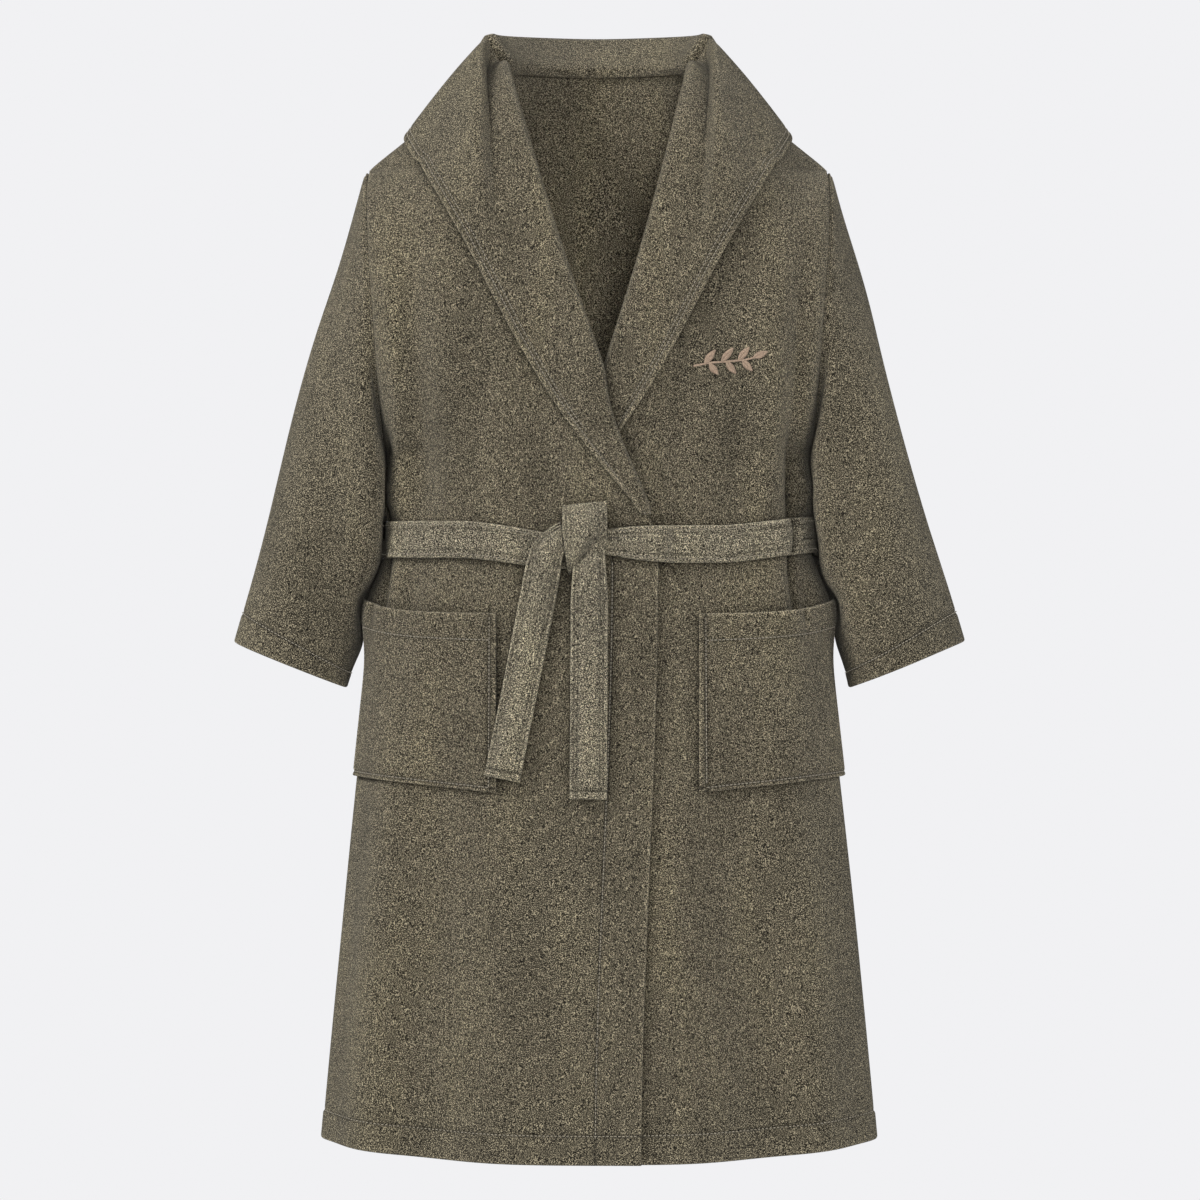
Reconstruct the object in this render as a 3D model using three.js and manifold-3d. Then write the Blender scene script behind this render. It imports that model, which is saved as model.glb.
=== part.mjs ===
// Shawl-collared terry bathrobe, filled out as if worn and tied at the waist.
// Millimetres, +Z up, the front faces -Y, the wearer's right is at -X.
// Origin: the middle of the hang loop, outside the back neck, under the collar.
// Every cloth piece is a thick sheet that follows one surface, the skin, at a stated offset.
import * as THREE from "three";
import { mergeVertices } from "three/addons/utils/BufferGeometryUtils.js";
import Module from "manifold-3d";

// ---- cloth and clearances ----
const cloth = 4; // one layer of terry
const doubled = 7; // two layers pressed together: collar, lapels and belt
const turned = 2.5; // a hem or facing turned in and stitched flat
const gap = 0.8; // air between layers that lie on each other
const collarGap = 2.2; // air between the collar and what it falls on
const seam = 0.5; // half the air between pieces that meet edge to edge

// ---- body ----
const backLength = 1150; // back neck seam to hem
const neckHalf = 104; // middle of the neck to the shoulder seam
const shoulderHalf = 245;
const shoulderDrop = 112; // neck to the end of the shoulder seam
const armholeLength = 298;
const armholeHalfDepth = 60;
const waistBelow = 98; // underarm to the middle of the belt
const chestHalf = 230;
const waistHalf = 222;
const hemHalf = 296;
const chestDepth = 88; // half of front to back
const waistDepth = 78;
const hemDepth = 104;
const shoulderRound = 170; // how far down the body takes to reach its full depth
const hemDip = 18; // how much lower the hem hangs at the middle of the front
const hemTurn = 30;
const sectionPower = 2.5; // exponent of the body's section: 2 is an ellipse

// ---- fronts ----
const crossDepth = 330; // neck to where the two roll lines cross
const crossX = 6;
const wrap = 63; // free edge past the middle at the belt
const hemWrap = 45; // free edge past the middle at the hem
const facingWidth = 48;
const rollBow = 5;
const liftStart = 215; // above the crossing, where the outer front starts to lift off
const liftEnd = 33; // above the crossing, where it is clear of the inner front

// ---- collar ----
const rollRise = 30; // roll of the collar above the back neck seam
const rollHalf = 118; // half the width of the roll at the back
const fallHalf = 207; // where the fall's edge crosses the shoulder
const fallLength = 100; // back neck seam to the edge of the fall
const fallStandOff = 13; // room for the hang loop under the fall
const lapelTop = 78; // neck to where the lapel's edge leaves the shoulder
const lapelEnd = 481; // neck to the tip of the lapel
const lapelSwing = 15; // how far the lapel's edge bows outward
const lapelBelly = 14; // how much lower down the bow sits
const stackedDrop = 2.5; // how fast the lapel's rows turn level below the shoulder
const neckBlend = 9; // how fast the lapel's roll leaves the shoulder for the front's edge
const collarCurve = 1.4; // how steeply the collar falls away from its roll

// ---- sleeves ----
const underarmLength = 257;
const cuffWidth = 134;
const cuffSlant = THREE.MathUtils.degToRad(22);
const cuffHalfDepth = 46;
const sleeveClear = 20; // inner side of the cuff to the body
const cuffTurn = 28;

// ---- belt ----
const beltWidth = 41;
const knotWidth = 46;
const knotHeight = 66;
const knotDepth = 26;
const knotX = -15;
const knotRound = 3.2; // 2 gives a knot like a ball, more gives a knot like a box
const tailLength = 235;
const tailSpace = 4; // between the tails
const tailDrop = 7; // knot to tail, room for the tail to swing
const tailWidth = 38.5; // the belt narrows in the knot
const tailLean = 0.2; // sideways per millimetre of length, wearer's right tail
const beltCrossing = 12; // how far the belt takes to step down off the outer front
const loopWidth = 12;
const loopTail = 8; // stitched end of a loop, above and below the belt

// ---- pockets ----
const pocketInnerX = 106; // pocket edge nearest the middle
const pocketDepth = 190;
const pocketBelowBelt = 58;
const pocketTilt = 0.1; // rise of the mouth towards the side seam
const pocketGape = 18; // how far the mouth stands off the front
const pocketHem = 29;
const pocketSideAngle = THREE.MathUtils.degToRad(82);

// ---- hang loop and chest embroidery ----
const hangSpan = 76;
const hangWidth = 9;
const hangBow = 9; // opening between the loop and the back
const hangDrop = 16; // neck seam to the middle of the loop
const hangEnd = 7;
const sprigX = 139;
const sprigDrop = 320; // neck to its middle
const sprigWidth = 80;
const sprigHeight = 34;
const sprigThick = 1.2;
const sprigTip = 0.08; // height of its pointed ends, as a share

const terry = new THREE.MeshStandardMaterial({ color: 0x6a6453, roughness: 0.95, metalness: 0 });
const terryIn = new THREE.MeshStandardMaterial({ color: 0x746d5a, roughness: 0.95, metalness: 0 });
const thread = new THREE.MeshStandardMaterial({ color: 0xb39a80, roughness: 0.6, metalness: 0 });

const { PI, abs, asin, cos, hypot, max, min, pow, sign, sin, sqrt } = Math;
const { clamp, lerp, smoothstep } = THREE.MathUtils;
const RIGHT = -1; // the wearer's right, as the sign of x
const LEFT = 1;
const FRONT = 1;
const BACK = -1;
const hemZ = -backLength;
const shoulderZ = -shoulderDrop;
const underarmZ = shoulderZ - armholeLength;
const waistZ = underarmZ - waistBelow;
const beltTop = waistZ + beltWidth / 2;
const beltBottom = waistZ - beltWidth / 2;
const overLift = cloth + turned + 2 * gap; // outer front above the inner front

// ---- the skin: the surface inside the robe that every piece follows ----

// A width or depth that changes down the body, from its values at chest, waist and hem.
function along(z, atChest, atWaist, atHem) {
  if (z > waistZ) return lerp(atWaist, atChest, smoothstep(z, waistZ, underarmZ + waistBelow));
  return lerp(atWaist, atHem, pow((waistZ - z) / (waistZ - hemZ), 0.8));
}

function halfWidth(z) {
  const body = along(z, chestHalf, waistHalf, hemHalf);
  return lerp(body, shoulderHalf, smoothstep(z, underarmZ, shoulderZ));
}

const halfDepth = (z) => along(z, chestDepth, waistDepth, hemDepth);

// Height of the shoulder seam at a distance x from the middle, carried on over the neck.
function shoulderLine(x) {
  const bend = 24;
  const slope = shoulderDrop / (shoulderHalf - neckHalf);
  return slope * (hypot(neckHalf, bend) - hypot(x, bend));
}

function armholeDepth(z) {
  const share = (z - (shoulderZ + underarmZ) / 2) / (armholeLength / 2);
  return armholeHalfDepth * sqrt(max(0, 1 - share * share));
}

// A point of the skin. turn is 0 in the middle and a quarter circle at the side seams.
function skinPoint(turn, z, face) {
  const share = sign(turn) * pow(sin(abs(turn)), 2 / sectionPower);
  const side = pow(max(0, cos(turn)), 2 / sectionPower);
  const drop = clamp((shoulderLine(share * halfWidth(z)) - z) / shoulderRound, 0, 1);
  const edge = armholeDepth(z);
  const depth = max(edge, halfDepth(z) * sqrt(1 - (1 - drop) * (1 - drop)));
  return new THREE.Vector3(share * halfWidth(z), -face * lerp(edge, depth, side), z);
}

// The same point moved out of the body by offset.
function skin(turn, z, offset, face) {
  const step = 0.02;
  const near = clamp(turn, -PI / 2 + 2 * step, PI / 2 - 2 * step);
  const across = skinPoint(near + step, z, face).sub(skinPoint(near - step, z, face));
  const up = skinPoint(near, z + 1, face).sub(skinPoint(near, z - 1, face));
  const normal = across.cross(up).multiplyScalar(face).normalize();
  return skinPoint(turn, z, face).addScaledVector(normal, offset);
}

// The turn at which the skin has a given x.
function turnOf(x, z) {
  const share = clamp(abs(x) / halfWidth(z), 0, 1);
  return sign(x) * asin(pow(share, sectionPower / 2));
}

const seamTurn = PI / 2 - pow(seam / chestDepth, sectionPower / 2);

// ---- edges of the fronts and of the collar, as distances from the middle to the own side ----

function frontEdge(z, side) {
  if (z > -crossDepth) {
    const t = clamp(-z / crossDepth, 0, 1);
    return lerp(neckHalf - 8, side * crossX, t) + rollBow * sin(PI * t);
  }
  const crossing = lerp(side * crossX, -wrap, smoothstep(-z, crossDepth, -beltBottom));
  return crossing + (wrap - hemWrap) * smoothstep(-z, -beltBottom, backLength);
}

// The lapel's outer edge swings from the shoulder to the tip on the free edge.
function lapelEdge(z, side) {
  const t = clamp((-z - lapelTop) / (lapelEnd - lapelTop), 0, 1);
  const tip = frontEdge(-lapelEnd, side) + cloth;
  return lerp(fallHalf, tip, t) + sin(PI * t) * (lapelSwing - lapelBelly * cos(PI * t));
}

// How far the outer front is lifted off the skin, to pass over the inner front.
function overlapLift(x, z) {
  const across = smoothstep(x, -0.9 * halfWidth(z), -wrap - 2 * cloth);
  return overLift * across * smoothstep(-z, crossDepth - liftStart, crossDepth - liftEnd);
}

// ---- closed solids ----

const wasm = await Module();
wasm.setup();

// Moves every vertex of a closed geometry by place and turns its faces outward.
function shaped(name, material, geometry, place) {
  const position = geometry.getAttribute("position");
  const point = new THREE.Vector3();
  for (let i = 0; i < position.count; i += 1) {
    const to = place(point.fromBufferAttribute(position, i));
    position.setXYZ(i, to.x, to.y, to.z);
  }
  geometry.deleteAttribute("normal");
  geometry.deleteAttribute("uv");
  const merged = mergeVertices(geometry, 1e-3);
  const triVerts = new Uint32Array(merged.index.array);
  const vertProperties = merged.attributes.position.array;
  const solid = new wasm.Manifold(new wasm.Mesh({ numProp: 3, vertProperties, triVerts }));
  if (solid.volume() < 0) merged.index.array.reverse();
  const mesh = new THREE.Mesh(merged, material);
  mesh.name = name;
  return mesh;
}

// A sheet with a thickness: place(u, v, w) with u across, v down and w through, each 0 to 1.
function sheet(name, material, columns, rows, place) {
  const geometry = new THREE.BoxGeometry(1, 1, 1, columns, rows, 1);
  return shaped(name, material, geometry, (p) => place(p.x + 0.5, 0.5 - p.y, p.z + 0.5));
}

// A tube with a wall, open at both ends: place(turn, v, w) with turn from 0 to 2 PI.
function tube(name, material, sides, rows, place) {
  const profile = [];
  for (let i = 0; i <= rows; i += 1) profile.push(new THREE.Vector2(2, i / rows));
  for (let i = rows; i >= 0; i -= 1) profile.push(new THREE.Vector2(1, i / rows));
  profile.push(profile[0].clone());
  const geometry = new THREE.LatheGeometry(profile, sides);
  return shaped(name, material, geometry, (p) => {
    return place(Math.atan2(p.x, p.z), p.y, hypot(p.x, p.z) - 1);
  });
}

// ---- body panels ----

const panelColumns = 15;
const backColumns = 24;
const topEdge = 0.01; // keeps the top row just under the shoulder line

// Rows of a panel: closer together over the shoulder, and one at each edge of the belt.
const rowBands = [
  { rows: 8, bottom: -shoulderDrop - armholeLength / 2, power: 1.8 },
  { rows: 4, bottom: beltTop, power: 1 },
  { rows: 2, bottom: beltBottom, power: 1 },
  { rows: 8, bottom: hemZ, power: 1 },
];
const panelRows = rowBands.reduce((sum, band) => sum + band.rows, 0);

function rowHeight(v, top) {
  let row = v * panelRows;
  let from = top;
  for (const band of rowBands) {
    if (row <= band.rows + 1e-6) return lerp(from, band.bottom, pow(row / band.rows, band.power));
    row -= band.rows;
    from = band.bottom;
  }
  return hemZ;
}

// A place on the own side of the front, level with z on the side seam.
function onFront(turn, z, offset, side) {
  const low = z - hemDip * cos(turn) ** 2 * clamp((beltBottom - z) / (beltBottom - hemZ), 0, 1);
  const lift = side === RIGHT ? overlapLift(side * skinPoint(turn, z, FRONT).x, z) : 0;
  return skin(side * turn, low, lift + offset, FRONT);
}

// A point of a front panel: u from the side to the free edge.
function frontPoint(u, z, offset, side) {
  return onFront(lerp(seamTurn, turnOf(frontEdge(z, side), z), u), z, offset, side);
}

function frontPanel(name, side) {
  return sheet(name, terry, panelColumns, panelRows, (u, v, w) => {
    const topTurn = lerp(seamTurn, turnOf(neckHalf, -1), u);
    const topX = pow(sin(topTurn), 2 / sectionPower) * shoulderHalf;
    const z = rowHeight(v, shoulderLine(topX) - topEdge);
    return frontPoint(u, z, w * cloth, side);
  });
}

function backPanel() {
  return sheet("back_panel", terry, backColumns, panelRows, (u, v, w) => {
    const turn = lerp(-seamTurn, seamTurn, u);
    const topX = pow(sin(abs(turn)), 2 / sectionPower) * shoulderHalf;
    const top = min(shoulderLine(topX), 0) - topEdge;
    return skin(turn, rowHeight(v, top), w * cloth, BACK);
  });
}

// Strips turned in at the free edges and at the hem, inside the panels.
function facing(name, side) {
  const first = rowBands[0].rows + rowBands[1].rows;
  return sheet(name, terryIn, 3, panelRows - first, (u, v, w) => {
    const z = max(rowHeight(lerp(first / panelRows, 1, v), 0), hemZ + hemTurn + 2 * gap);
    const x = frontEdge(z, side) + facingWidth * (1 - u);
    return onFront(turnOf(x, z), z, -gap - w * turned, side);
  });
}

function frontHem(name, side) {
  return sheet(name, terryIn, panelColumns, 1, (u, v, w) => {
    return frontPoint(u, hemZ + hemTurn * (1 - v), -gap - w * turned, side);
  });
}

function backHem() {
  return sheet("back_hem", terryIn, backColumns, 1, (u, v, w) => {
    const z = hemZ + hemTurn * (1 - v);
    return skin(lerp(-seamTurn, seamTurn, u), z, -gap - w * turned, BACK);
  });
}

// ---- collar ----

// The stand rises from the back neckline, inside the fall.
function collarStand() {
  return sheet("collar_stand", terryIn, 18, 2, (u, v, w) => {
    const turn = lerp(-PI / 2, PI / 2, u) * 0.98;
    const x = neckHalf * sin(turn);
    const base = skinPoint(turnOf(x, 0), min(0, shoulderLine(x)) - topEdge, BACK);
    const swell = 1 + (cloth + w * turned) / neckHalf;
    const low = cloth + gap;
    const z = lerp(rollRise - doubled, low, v);
    return new THREE.Vector3(base.x * swell, base.y * swell + seam, z);
  });
}

// The fall and the lapels meet along the shoulders. away is 0 there and 1 clear of it.
function collarPoint(x, z, offset, rise, face, away) {
  const ridge = new THREE.Vector3(x, 0, shoulderLine(x) + offset);
  const point = ridge.lerp(skin(turnOf(x, z), min(z, shoulderLine(x)), offset, face), min(away, 1));
  return point.add(new THREE.Vector3(0, -face * seam, rise));
}

function collarFall() {
  return sheet("collar_fall", terry, 24, 5, (u, v, w) => {
    const turn = lerp(-PI / 2, PI / 2, u);
    const across = sin(turn);
    const x = lerp(rollHalf, fallHalf, v) * across;
    const low = lerp(-fallLength, shoulderLine(fallHalf), abs(across) ** 3);
    const start = min(0, shoulderLine(rollHalf * across));
    const z = lerp(start, low, v);
    const rise = (rollRise - start - 2 * cloth) * pow(1 - v, collarCurve);
    const stand = fallStandOff * (1 - v) * cos(turn);
    const offset = cloth + collarGap + stand + w * doubled;
    return collarPoint(x, z, offset, rise, BACK, (1 - abs(2 * u - 1)) * 12);
  });
}

const lapelRows = 20;

function lapel(name, side) {
  return sheet(name, terry, 8, lapelRows, (u, v, w) => {
    const down = pow(v, 1.7);
    const inZ = lerp(shoulderLine(rollHalf), -lapelEnd, down);
    const slope = shoulderLine(fallHalf) - shoulderLine(rollHalf);
    const outZ = inZ + slope * pow(1 - down, stackedDrop);
    const neck = pow(1 - down, neckBlend) * (rollHalf - frontEdge(0, side));
    let inner = frontEdge(inZ, side) + neck;
    if (side === LEFT) inner = max(inner, 2 * cloth - frontEdge(inZ, RIGHT));
    const outer = max(lapelEdge(outZ, side), inner + cloth);
    const x = side * lerp(inner, outer, u);
    const z = lerp(inZ, outZ, u);
    const lift = side === RIGHT ? overlapLift(x, z) : 0;
    const rise = (rollRise - shoulderLine(rollHalf) - 2 * cloth) * pow(1 - u, collarCurve);
    const fade = 1 - smoothstep(down, 0, 0.3);
    const offset = lift + cloth + collarGap + w * doubled;
    return collarPoint(x, z, offset, rise * fade, FRONT, v * lapelRows);
  });
}

// ---- sleeves: straight from the armhole to the cuff ----

const cuffZ = underarmZ - underarmLength;
const cuffInner = new THREE.Vector2(halfWidth(cuffZ) + cloth + sleeveClear, cuffZ);
const cuffOuter = new THREE.Vector2(cos(cuffSlant), sin(cuffSlant))
  .multiplyScalar(cuffWidth)
  .add(cuffInner);
const sleeveLength = hypot(cuffOuter.x - shoulderHalf, cuffOuter.y - shoulderZ);

// Depth below the outer surface is in. v runs from the armhole to the cuff.
function sleevePoint(turn, v, depthIn, side) {
  const radius = armholeLength / 2 - depthIn;
  const topZ = (shoulderZ + underarmZ) / 2 + radius * cos(turn);
  const slant = hypot(1, (halfWidth(topZ + 1) - halfWidth(topZ - 1)) / 2);
  const start = new THREE.Vector3(
    halfWidth(topZ) + cloth * slant + 2 * seam,
    (armholeHalfDepth + cloth - depthIn) * sin(turn),
    topZ,
  );
  const share = 0.5 + 0.5 * cos(turn) * (1 - (2 * depthIn) / cuffWidth);
  const end = new THREE.Vector3(
    lerp(cuffInner.x, cuffOuter.x, share),
    (cuffHalfDepth - depthIn) * sin(turn),
    lerp(cuffInner.y, cuffOuter.y, share),
  );
  const point = start.lerp(end, v);
  point.x *= side;
  return point;
}

function sleeve(name, side) {
  return tube(name, terry, 24, 7, (turn, v, w) => sleevePoint(turn, v, cloth * (1 - w), side));
}

function cuffHem(name, side) {
  const start = 1 - cuffTurn / sleeveLength;
  return tube(name, terryIn, 24, 1, (turn, v, w) => {
    return sleevePoint(turn, lerp(start, 1, v), cloth + gap + turned * (1 - w), side);
  });
}

// ---- belt ----

// The belt steps over both layers of the fronts, and off the outer front's free edge.
function beltLift(turn, z) {
  const x = skinPoint(turn, z, FRONT).x;
  const off = smoothstep(x, wrap + cloth, wrap + cloth + beltCrossing);
  return overlapLift(x, z) * (1 - off);
}

const knotHalf = knotWidth / 2;

function belt() {
  const start = turnOf(knotX + knotHalf + gap, waistZ);
  const end = turnOf(knotX - knotHalf - gap, waistZ);
  return sheet("belt", terry, 88, 2, (u, v, w) => {
    const round = lerp(start, 2 * PI + end, u);
    const z = lerp(beltTop, beltBottom, v);
    const behind = round > PI / 2 && round < 1.5 * PI;
    if (behind) return skin(PI - round, z, cloth + gap + w * doubled, BACK);
    const turn = round > PI ? round - 2 * PI : round;
    return skin(turn, z, cloth + gap + beltLift(turn, z) + w * doubled, FRONT);
  });
}

const knotBack = skin(turnOf(knotX, waistZ), waistZ, cloth + overLift + 2 * gap, FRONT).y;

// A pillow-shaped block: a cube whose corners are drawn in.
function knot() {
  const geometry = new THREE.BoxGeometry(2, 2, 2, 6, 6, 4);
  return shaped("belt_knot", terry, geometry, (p) => {
    const round = (a, b, c) => a * sqrt(1 - (b * b + c * c) / knotRound + (b * b * c * c) / 6);
    const x = knotX + knotHalf * round(p.x, p.y, p.z);
    const y = knotBack - (knotDepth / 2) * (1 + round(p.z, p.x, p.y));
    return new THREE.Vector3(x, y, waistZ + (knotHeight / 2) * round(p.y, p.x, p.z));
  });
}

const tailTop = waistZ - knotHeight / 2 - tailDrop;
const tailAway = cloth + tailSpace; // off the outer front

function beltTail(name, middle, lean) {
  return sheet(name, terry, 3, 10, (u, v, w) => {
    const z = tailTop - tailLength * v;
    const x = middle - lean * tailLength * v + (u - 0.5) * tailWidth;
    return skin(turnOf(x, z), z, overLift + tailAway + w * doubled, FRONT);
  });
}

function beltLoop(name, side) {
  const reach = beltWidth / 2 + gap;
  const half = reach + doubled + loopTail;
  return sheet(name, terry, 2, 16, (u, v, w) => {
    const height = (1 - 2 * v) * half;
    const bow = 1 - smoothstep(abs(height), reach, reach + doubled);
    const offset = cloth + gap + bow * (doubled + gap) + w * turned;
    const x = halfWidth(waistZ + height) + offset;
    return new THREE.Vector3(side * x, (u - 0.5) * loopWidth, waistZ + height);
  });
}

// ---- pockets ----

const pocketTop = beltBottom - pocketBelowBelt;

// u from the middle to the side seam, v from the mouth down.
function pocketPoint(u, down, offset, side) {
  const level = pocketTop - down;
  const turn = lerp(turnOf(pocketInnerX, level), pocketSideAngle, u);
  const z = level + pocketTilt * (skinPoint(turn, level, FRONT).x - pocketInnerX);
  const lift = side === RIGHT ? overlapLift(side * skinPoint(turn, z, FRONT).x, z) : 0;
  const mouth = pocketGape * sin(PI * u) * pow(1 - down / pocketDepth, 2);
  return skin(side * turn, z, lift + cloth + gap + mouth + offset, FRONT);
}

function pocket(name, side) {
  const place = (u, v, w) => pocketPoint(u, v * pocketDepth, turned + gap + w * cloth, side);
  return sheet(name, terry, 10, 9, place);
}

function pocketHemStrip(name, side) {
  return sheet(name, terryIn, 10, 2, (u, v, w) => {
    return pocketPoint(lerp(0.03, 0.97, u), v * pocketHem, w * turned, side);
  });
}

// ---- hang loop and embroidery ----

function hangLoop() {
  const half = hangSpan / 2 + hangEnd;
  return sheet("hang_loop", terryIn, 20, 1, (u, v, w) => {
    const x = lerp(-half, half, u);
    const bow = 1 - smoothstep(abs(x), hangSpan / 2 - 2 * hangBow, hangSpan / 2);
    const z = -hangDrop + hangWidth * (0.5 - v);
    return skin(turnOf(x, z), z, cloth + gap + bow * hangBow + w * turned, BACK);
  });
}

// A leaf-shaped patch of satin stitch, pointed at both ends.
function embroidery() {
  return sheet("chest_embroidery", thread, 12, 4, (u, v, w) => {
    const z = -sprigDrop + (0.5 - v) * sprigHeight * max(sprigTip, sin(PI * u));
    const x = sprigX + (u - 0.5) * sprigWidth;
    return skin(turnOf(x, z), z, cloth + gap / 2 + w * sprigThick, FRONT);
  });
}

// ---- assembly ----

const robe = new THREE.Group();
robe.add(backPanel(), backHem(), collarStand(), collarFall(), belt(), knot(), hangLoop(), embroidery());
for (const [word, side] of [["right", RIGHT], ["left", LEFT]]) {
  robe.add(frontPanel(`${word}_front`, side), facing(`${word}_facing`, side));
  robe.add(frontHem(`${word}_front_hem`, side), lapel(`${word}_lapel`, side));
  robe.add(sleeve(`${word}_sleeve`, side), cuffHem(`${word}_cuff_hem`, side));
  robe.add(pocket(`${word}_pocket`, side), pocketHemStrip(`${word}_pocket_hem`, side));
  robe.add(beltLoop(`${word}_belt_loop`, side));
}
const tailHalf = (tailWidth + tailSpace) / 2;
robe.add(beltTail("right_belt_tail", knotX - tailHalf, tailLean));
robe.add(beltTail("left_belt_tail", knotX + tailHalf, 0));

const loopMiddle = skin(0, -hangDrop, cloth + gap + hangBow + turned / 2, BACK);
robe.position.set(0, -loopMiddle.y, -loopMiddle.z);

export default robe;
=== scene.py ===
"""Terry bathrobe: the cloth, collar, belt, pockets and stitching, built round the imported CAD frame.

Every cloth piece lies on one surface, the skin, at an offset. The skin is the body shape with its
folds in it, so pieces that lie on each other share the folds and stay apart.
"""
import math

import bpy
import numpy as np
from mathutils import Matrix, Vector
from mathutils.bvhtree import BVHTree


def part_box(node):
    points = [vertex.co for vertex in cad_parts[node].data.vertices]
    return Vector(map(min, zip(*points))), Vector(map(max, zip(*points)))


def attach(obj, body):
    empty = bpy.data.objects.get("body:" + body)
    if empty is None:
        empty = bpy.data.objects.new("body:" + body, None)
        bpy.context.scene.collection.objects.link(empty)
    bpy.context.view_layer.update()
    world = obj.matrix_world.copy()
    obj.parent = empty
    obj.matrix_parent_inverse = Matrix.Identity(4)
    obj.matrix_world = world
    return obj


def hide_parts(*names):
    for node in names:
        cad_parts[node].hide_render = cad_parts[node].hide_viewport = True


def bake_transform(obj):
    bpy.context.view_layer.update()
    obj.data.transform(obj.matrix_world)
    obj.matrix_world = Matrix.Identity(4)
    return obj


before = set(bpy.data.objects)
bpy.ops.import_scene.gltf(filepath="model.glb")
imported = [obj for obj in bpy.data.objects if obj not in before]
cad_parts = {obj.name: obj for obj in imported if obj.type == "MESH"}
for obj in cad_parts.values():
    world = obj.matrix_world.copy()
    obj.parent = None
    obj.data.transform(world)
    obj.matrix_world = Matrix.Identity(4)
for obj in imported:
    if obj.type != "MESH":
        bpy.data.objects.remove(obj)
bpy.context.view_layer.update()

MM = 0.001
RIGHT, LEFT = -1, 1  # the wearer's right is at -X
FRONT, BACK = 1, -1
SIDES = (("right", RIGHT), ("left", LEFT))

# ---- the body's own coordinates: x from the middle, y from the side seams, z from the neck seam ----

BACK_LENGTH = 1150 * MM
loop_lo, loop_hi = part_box("left_belt_loop")
panel_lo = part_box("back_panel")[0]
SIDE_Y = (loop_lo.y + loop_hi.y) / 2
NECK_Z = panel_lo.z + BACK_LENGTH
ORIGIN = np.array([0.0, SIDE_Y, NECK_Z])

CLOTH = 4 * MM
GAP = 0.8 * MM
STRIP = 2.2 * MM  # a turned-in strip, pressed thinner than the cloth
NECK_HALF = 104 * MM
SHOULDER_HALF = 245 * MM
SHOULDER_Z = -112 * MM
UNDERARM_Z = -410 * MM
WAIST_Z = (loop_lo.z + loop_hi.z) / 2 - NECK_Z
HEM_Z = -BACK_LENGTH
CHEST = (230 * MM, 88 * MM)  # half width, half depth
WAIST = (222 * MM, 78 * MM)
HEM = (296 * MM, 104 * MM)
ARMHOLE_HALF_DEPTH = 60 * MM
SHOULDER_ROUND = 170 * MM
SECTION_POWER = 2.5
HEM_DIP = 18 * MM
BELT_WIDTH = 41 * MM
BELT_TOP = WAIST_Z + BELT_WIDTH / 2
BELT_BOTTOM = WAIST_Z - BELT_WIDTH / 2

CROSS_Z = -330 * MM  # where the roll lines cross
CROSS_X = 6 * MM
WRAP = 63 * MM
HEM_WRAP = 45 * MM
LAPEL_END = -481 * MM
LAPEL_SWING = {RIGHT: 17 * MM, LEFT: 13 * MM}  # the edge bows outward, more on the outer lapel
LAPEL_BELLY = 14 * MM
FALL_X = 202 * MM  # the collar's edge over the shoulder


def smooth(x, a, b):
    t = np.clip((np.asarray(x, float) - a) / (b - a), 0, 1)
    return t * t * (3 - 2 * t)


def mix(a, b, t):
    return a + (b - a) * t


def along(z, chest, waist, hem):
    upper = mix(waist, chest, smooth(z, WAIST_Z, UNDERARM_Z + 98 * MM))
    share = np.clip((WAIST_Z - z) / (WAIST_Z - HEM_Z), 0, 1.2)
    return np.where(z > WAIST_Z, upper, mix(waist, hem, share**0.8))


def half_width(z):
    body = along(z, CHEST[0], WAIST[0], HEM[0])
    return mix(body, SHOULDER_HALF, smooth(z, UNDERARM_Z, SHOULDER_Z))


def half_depth(z):
    return along(z, CHEST[1], WAIST[1], HEM[1])


def shoulder_line(x):
    bend = 24 * MM
    slope = -SHOULDER_Z / (SHOULDER_HALF - NECK_HALF)
    return slope * (math.hypot(NECK_HALF, bend) - np.hypot(x, bend))


def armhole_depth(z):
    share = (z - (SHOULDER_Z + UNDERARM_Z) / 2) / ((SHOULDER_Z - UNDERARM_Z) / 2)
    return ARMHOLE_HALF_DEPTH * np.sqrt(np.maximum(0, 1 - share * share))


def turn_of(x, z):
    """The angle round the body at which the skin has this x: 0 in the middle, +-90 degrees at the sides."""
    share = np.clip(np.abs(x) / half_width(z), 0, 1)
    return np.sign(x) * np.arcsin(share ** (SECTION_POWER / 2))


def bare_skin(turn, z, face):
    share = np.sign(turn) * np.sin(np.abs(turn)) ** (2 / SECTION_POWER)
    side = np.maximum(0, np.cos(turn)) ** (2 / SECTION_POWER)
    width = half_width(z)
    drop = np.clip((shoulder_line(share * width) - z) / SHOULDER_ROUND, 0, 1)
    edge = armhole_depth(z)
    depth = np.maximum(edge, half_depth(z) * np.sqrt(1 - (1 - drop) ** 2))
    return np.stack([share * width, -face * mix(edge, depth, side), z], -1)


def round_turns(count):
    return np.linspace(0, 2 * math.pi, count + 1)[:-1]


def unit(v):
    return v / np.maximum(np.linalg.norm(v, axis=-1, keepdims=True), 1e-12)


def bare_normal(turn, z, face):
    step = 0.02
    near = np.clip(turn, -math.pi / 2 + 2 * step, math.pi / 2 - 2 * step)
    across = bare_skin(near + step, z, face) - bare_skin(near - step, z, face)
    up = bare_skin(near, z + MM, face) - bare_skin(near, z - MM, face)
    return face * unit(np.cross(across, up))


# ---- folds: how far the cloth stands off the bare skin ----

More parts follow.
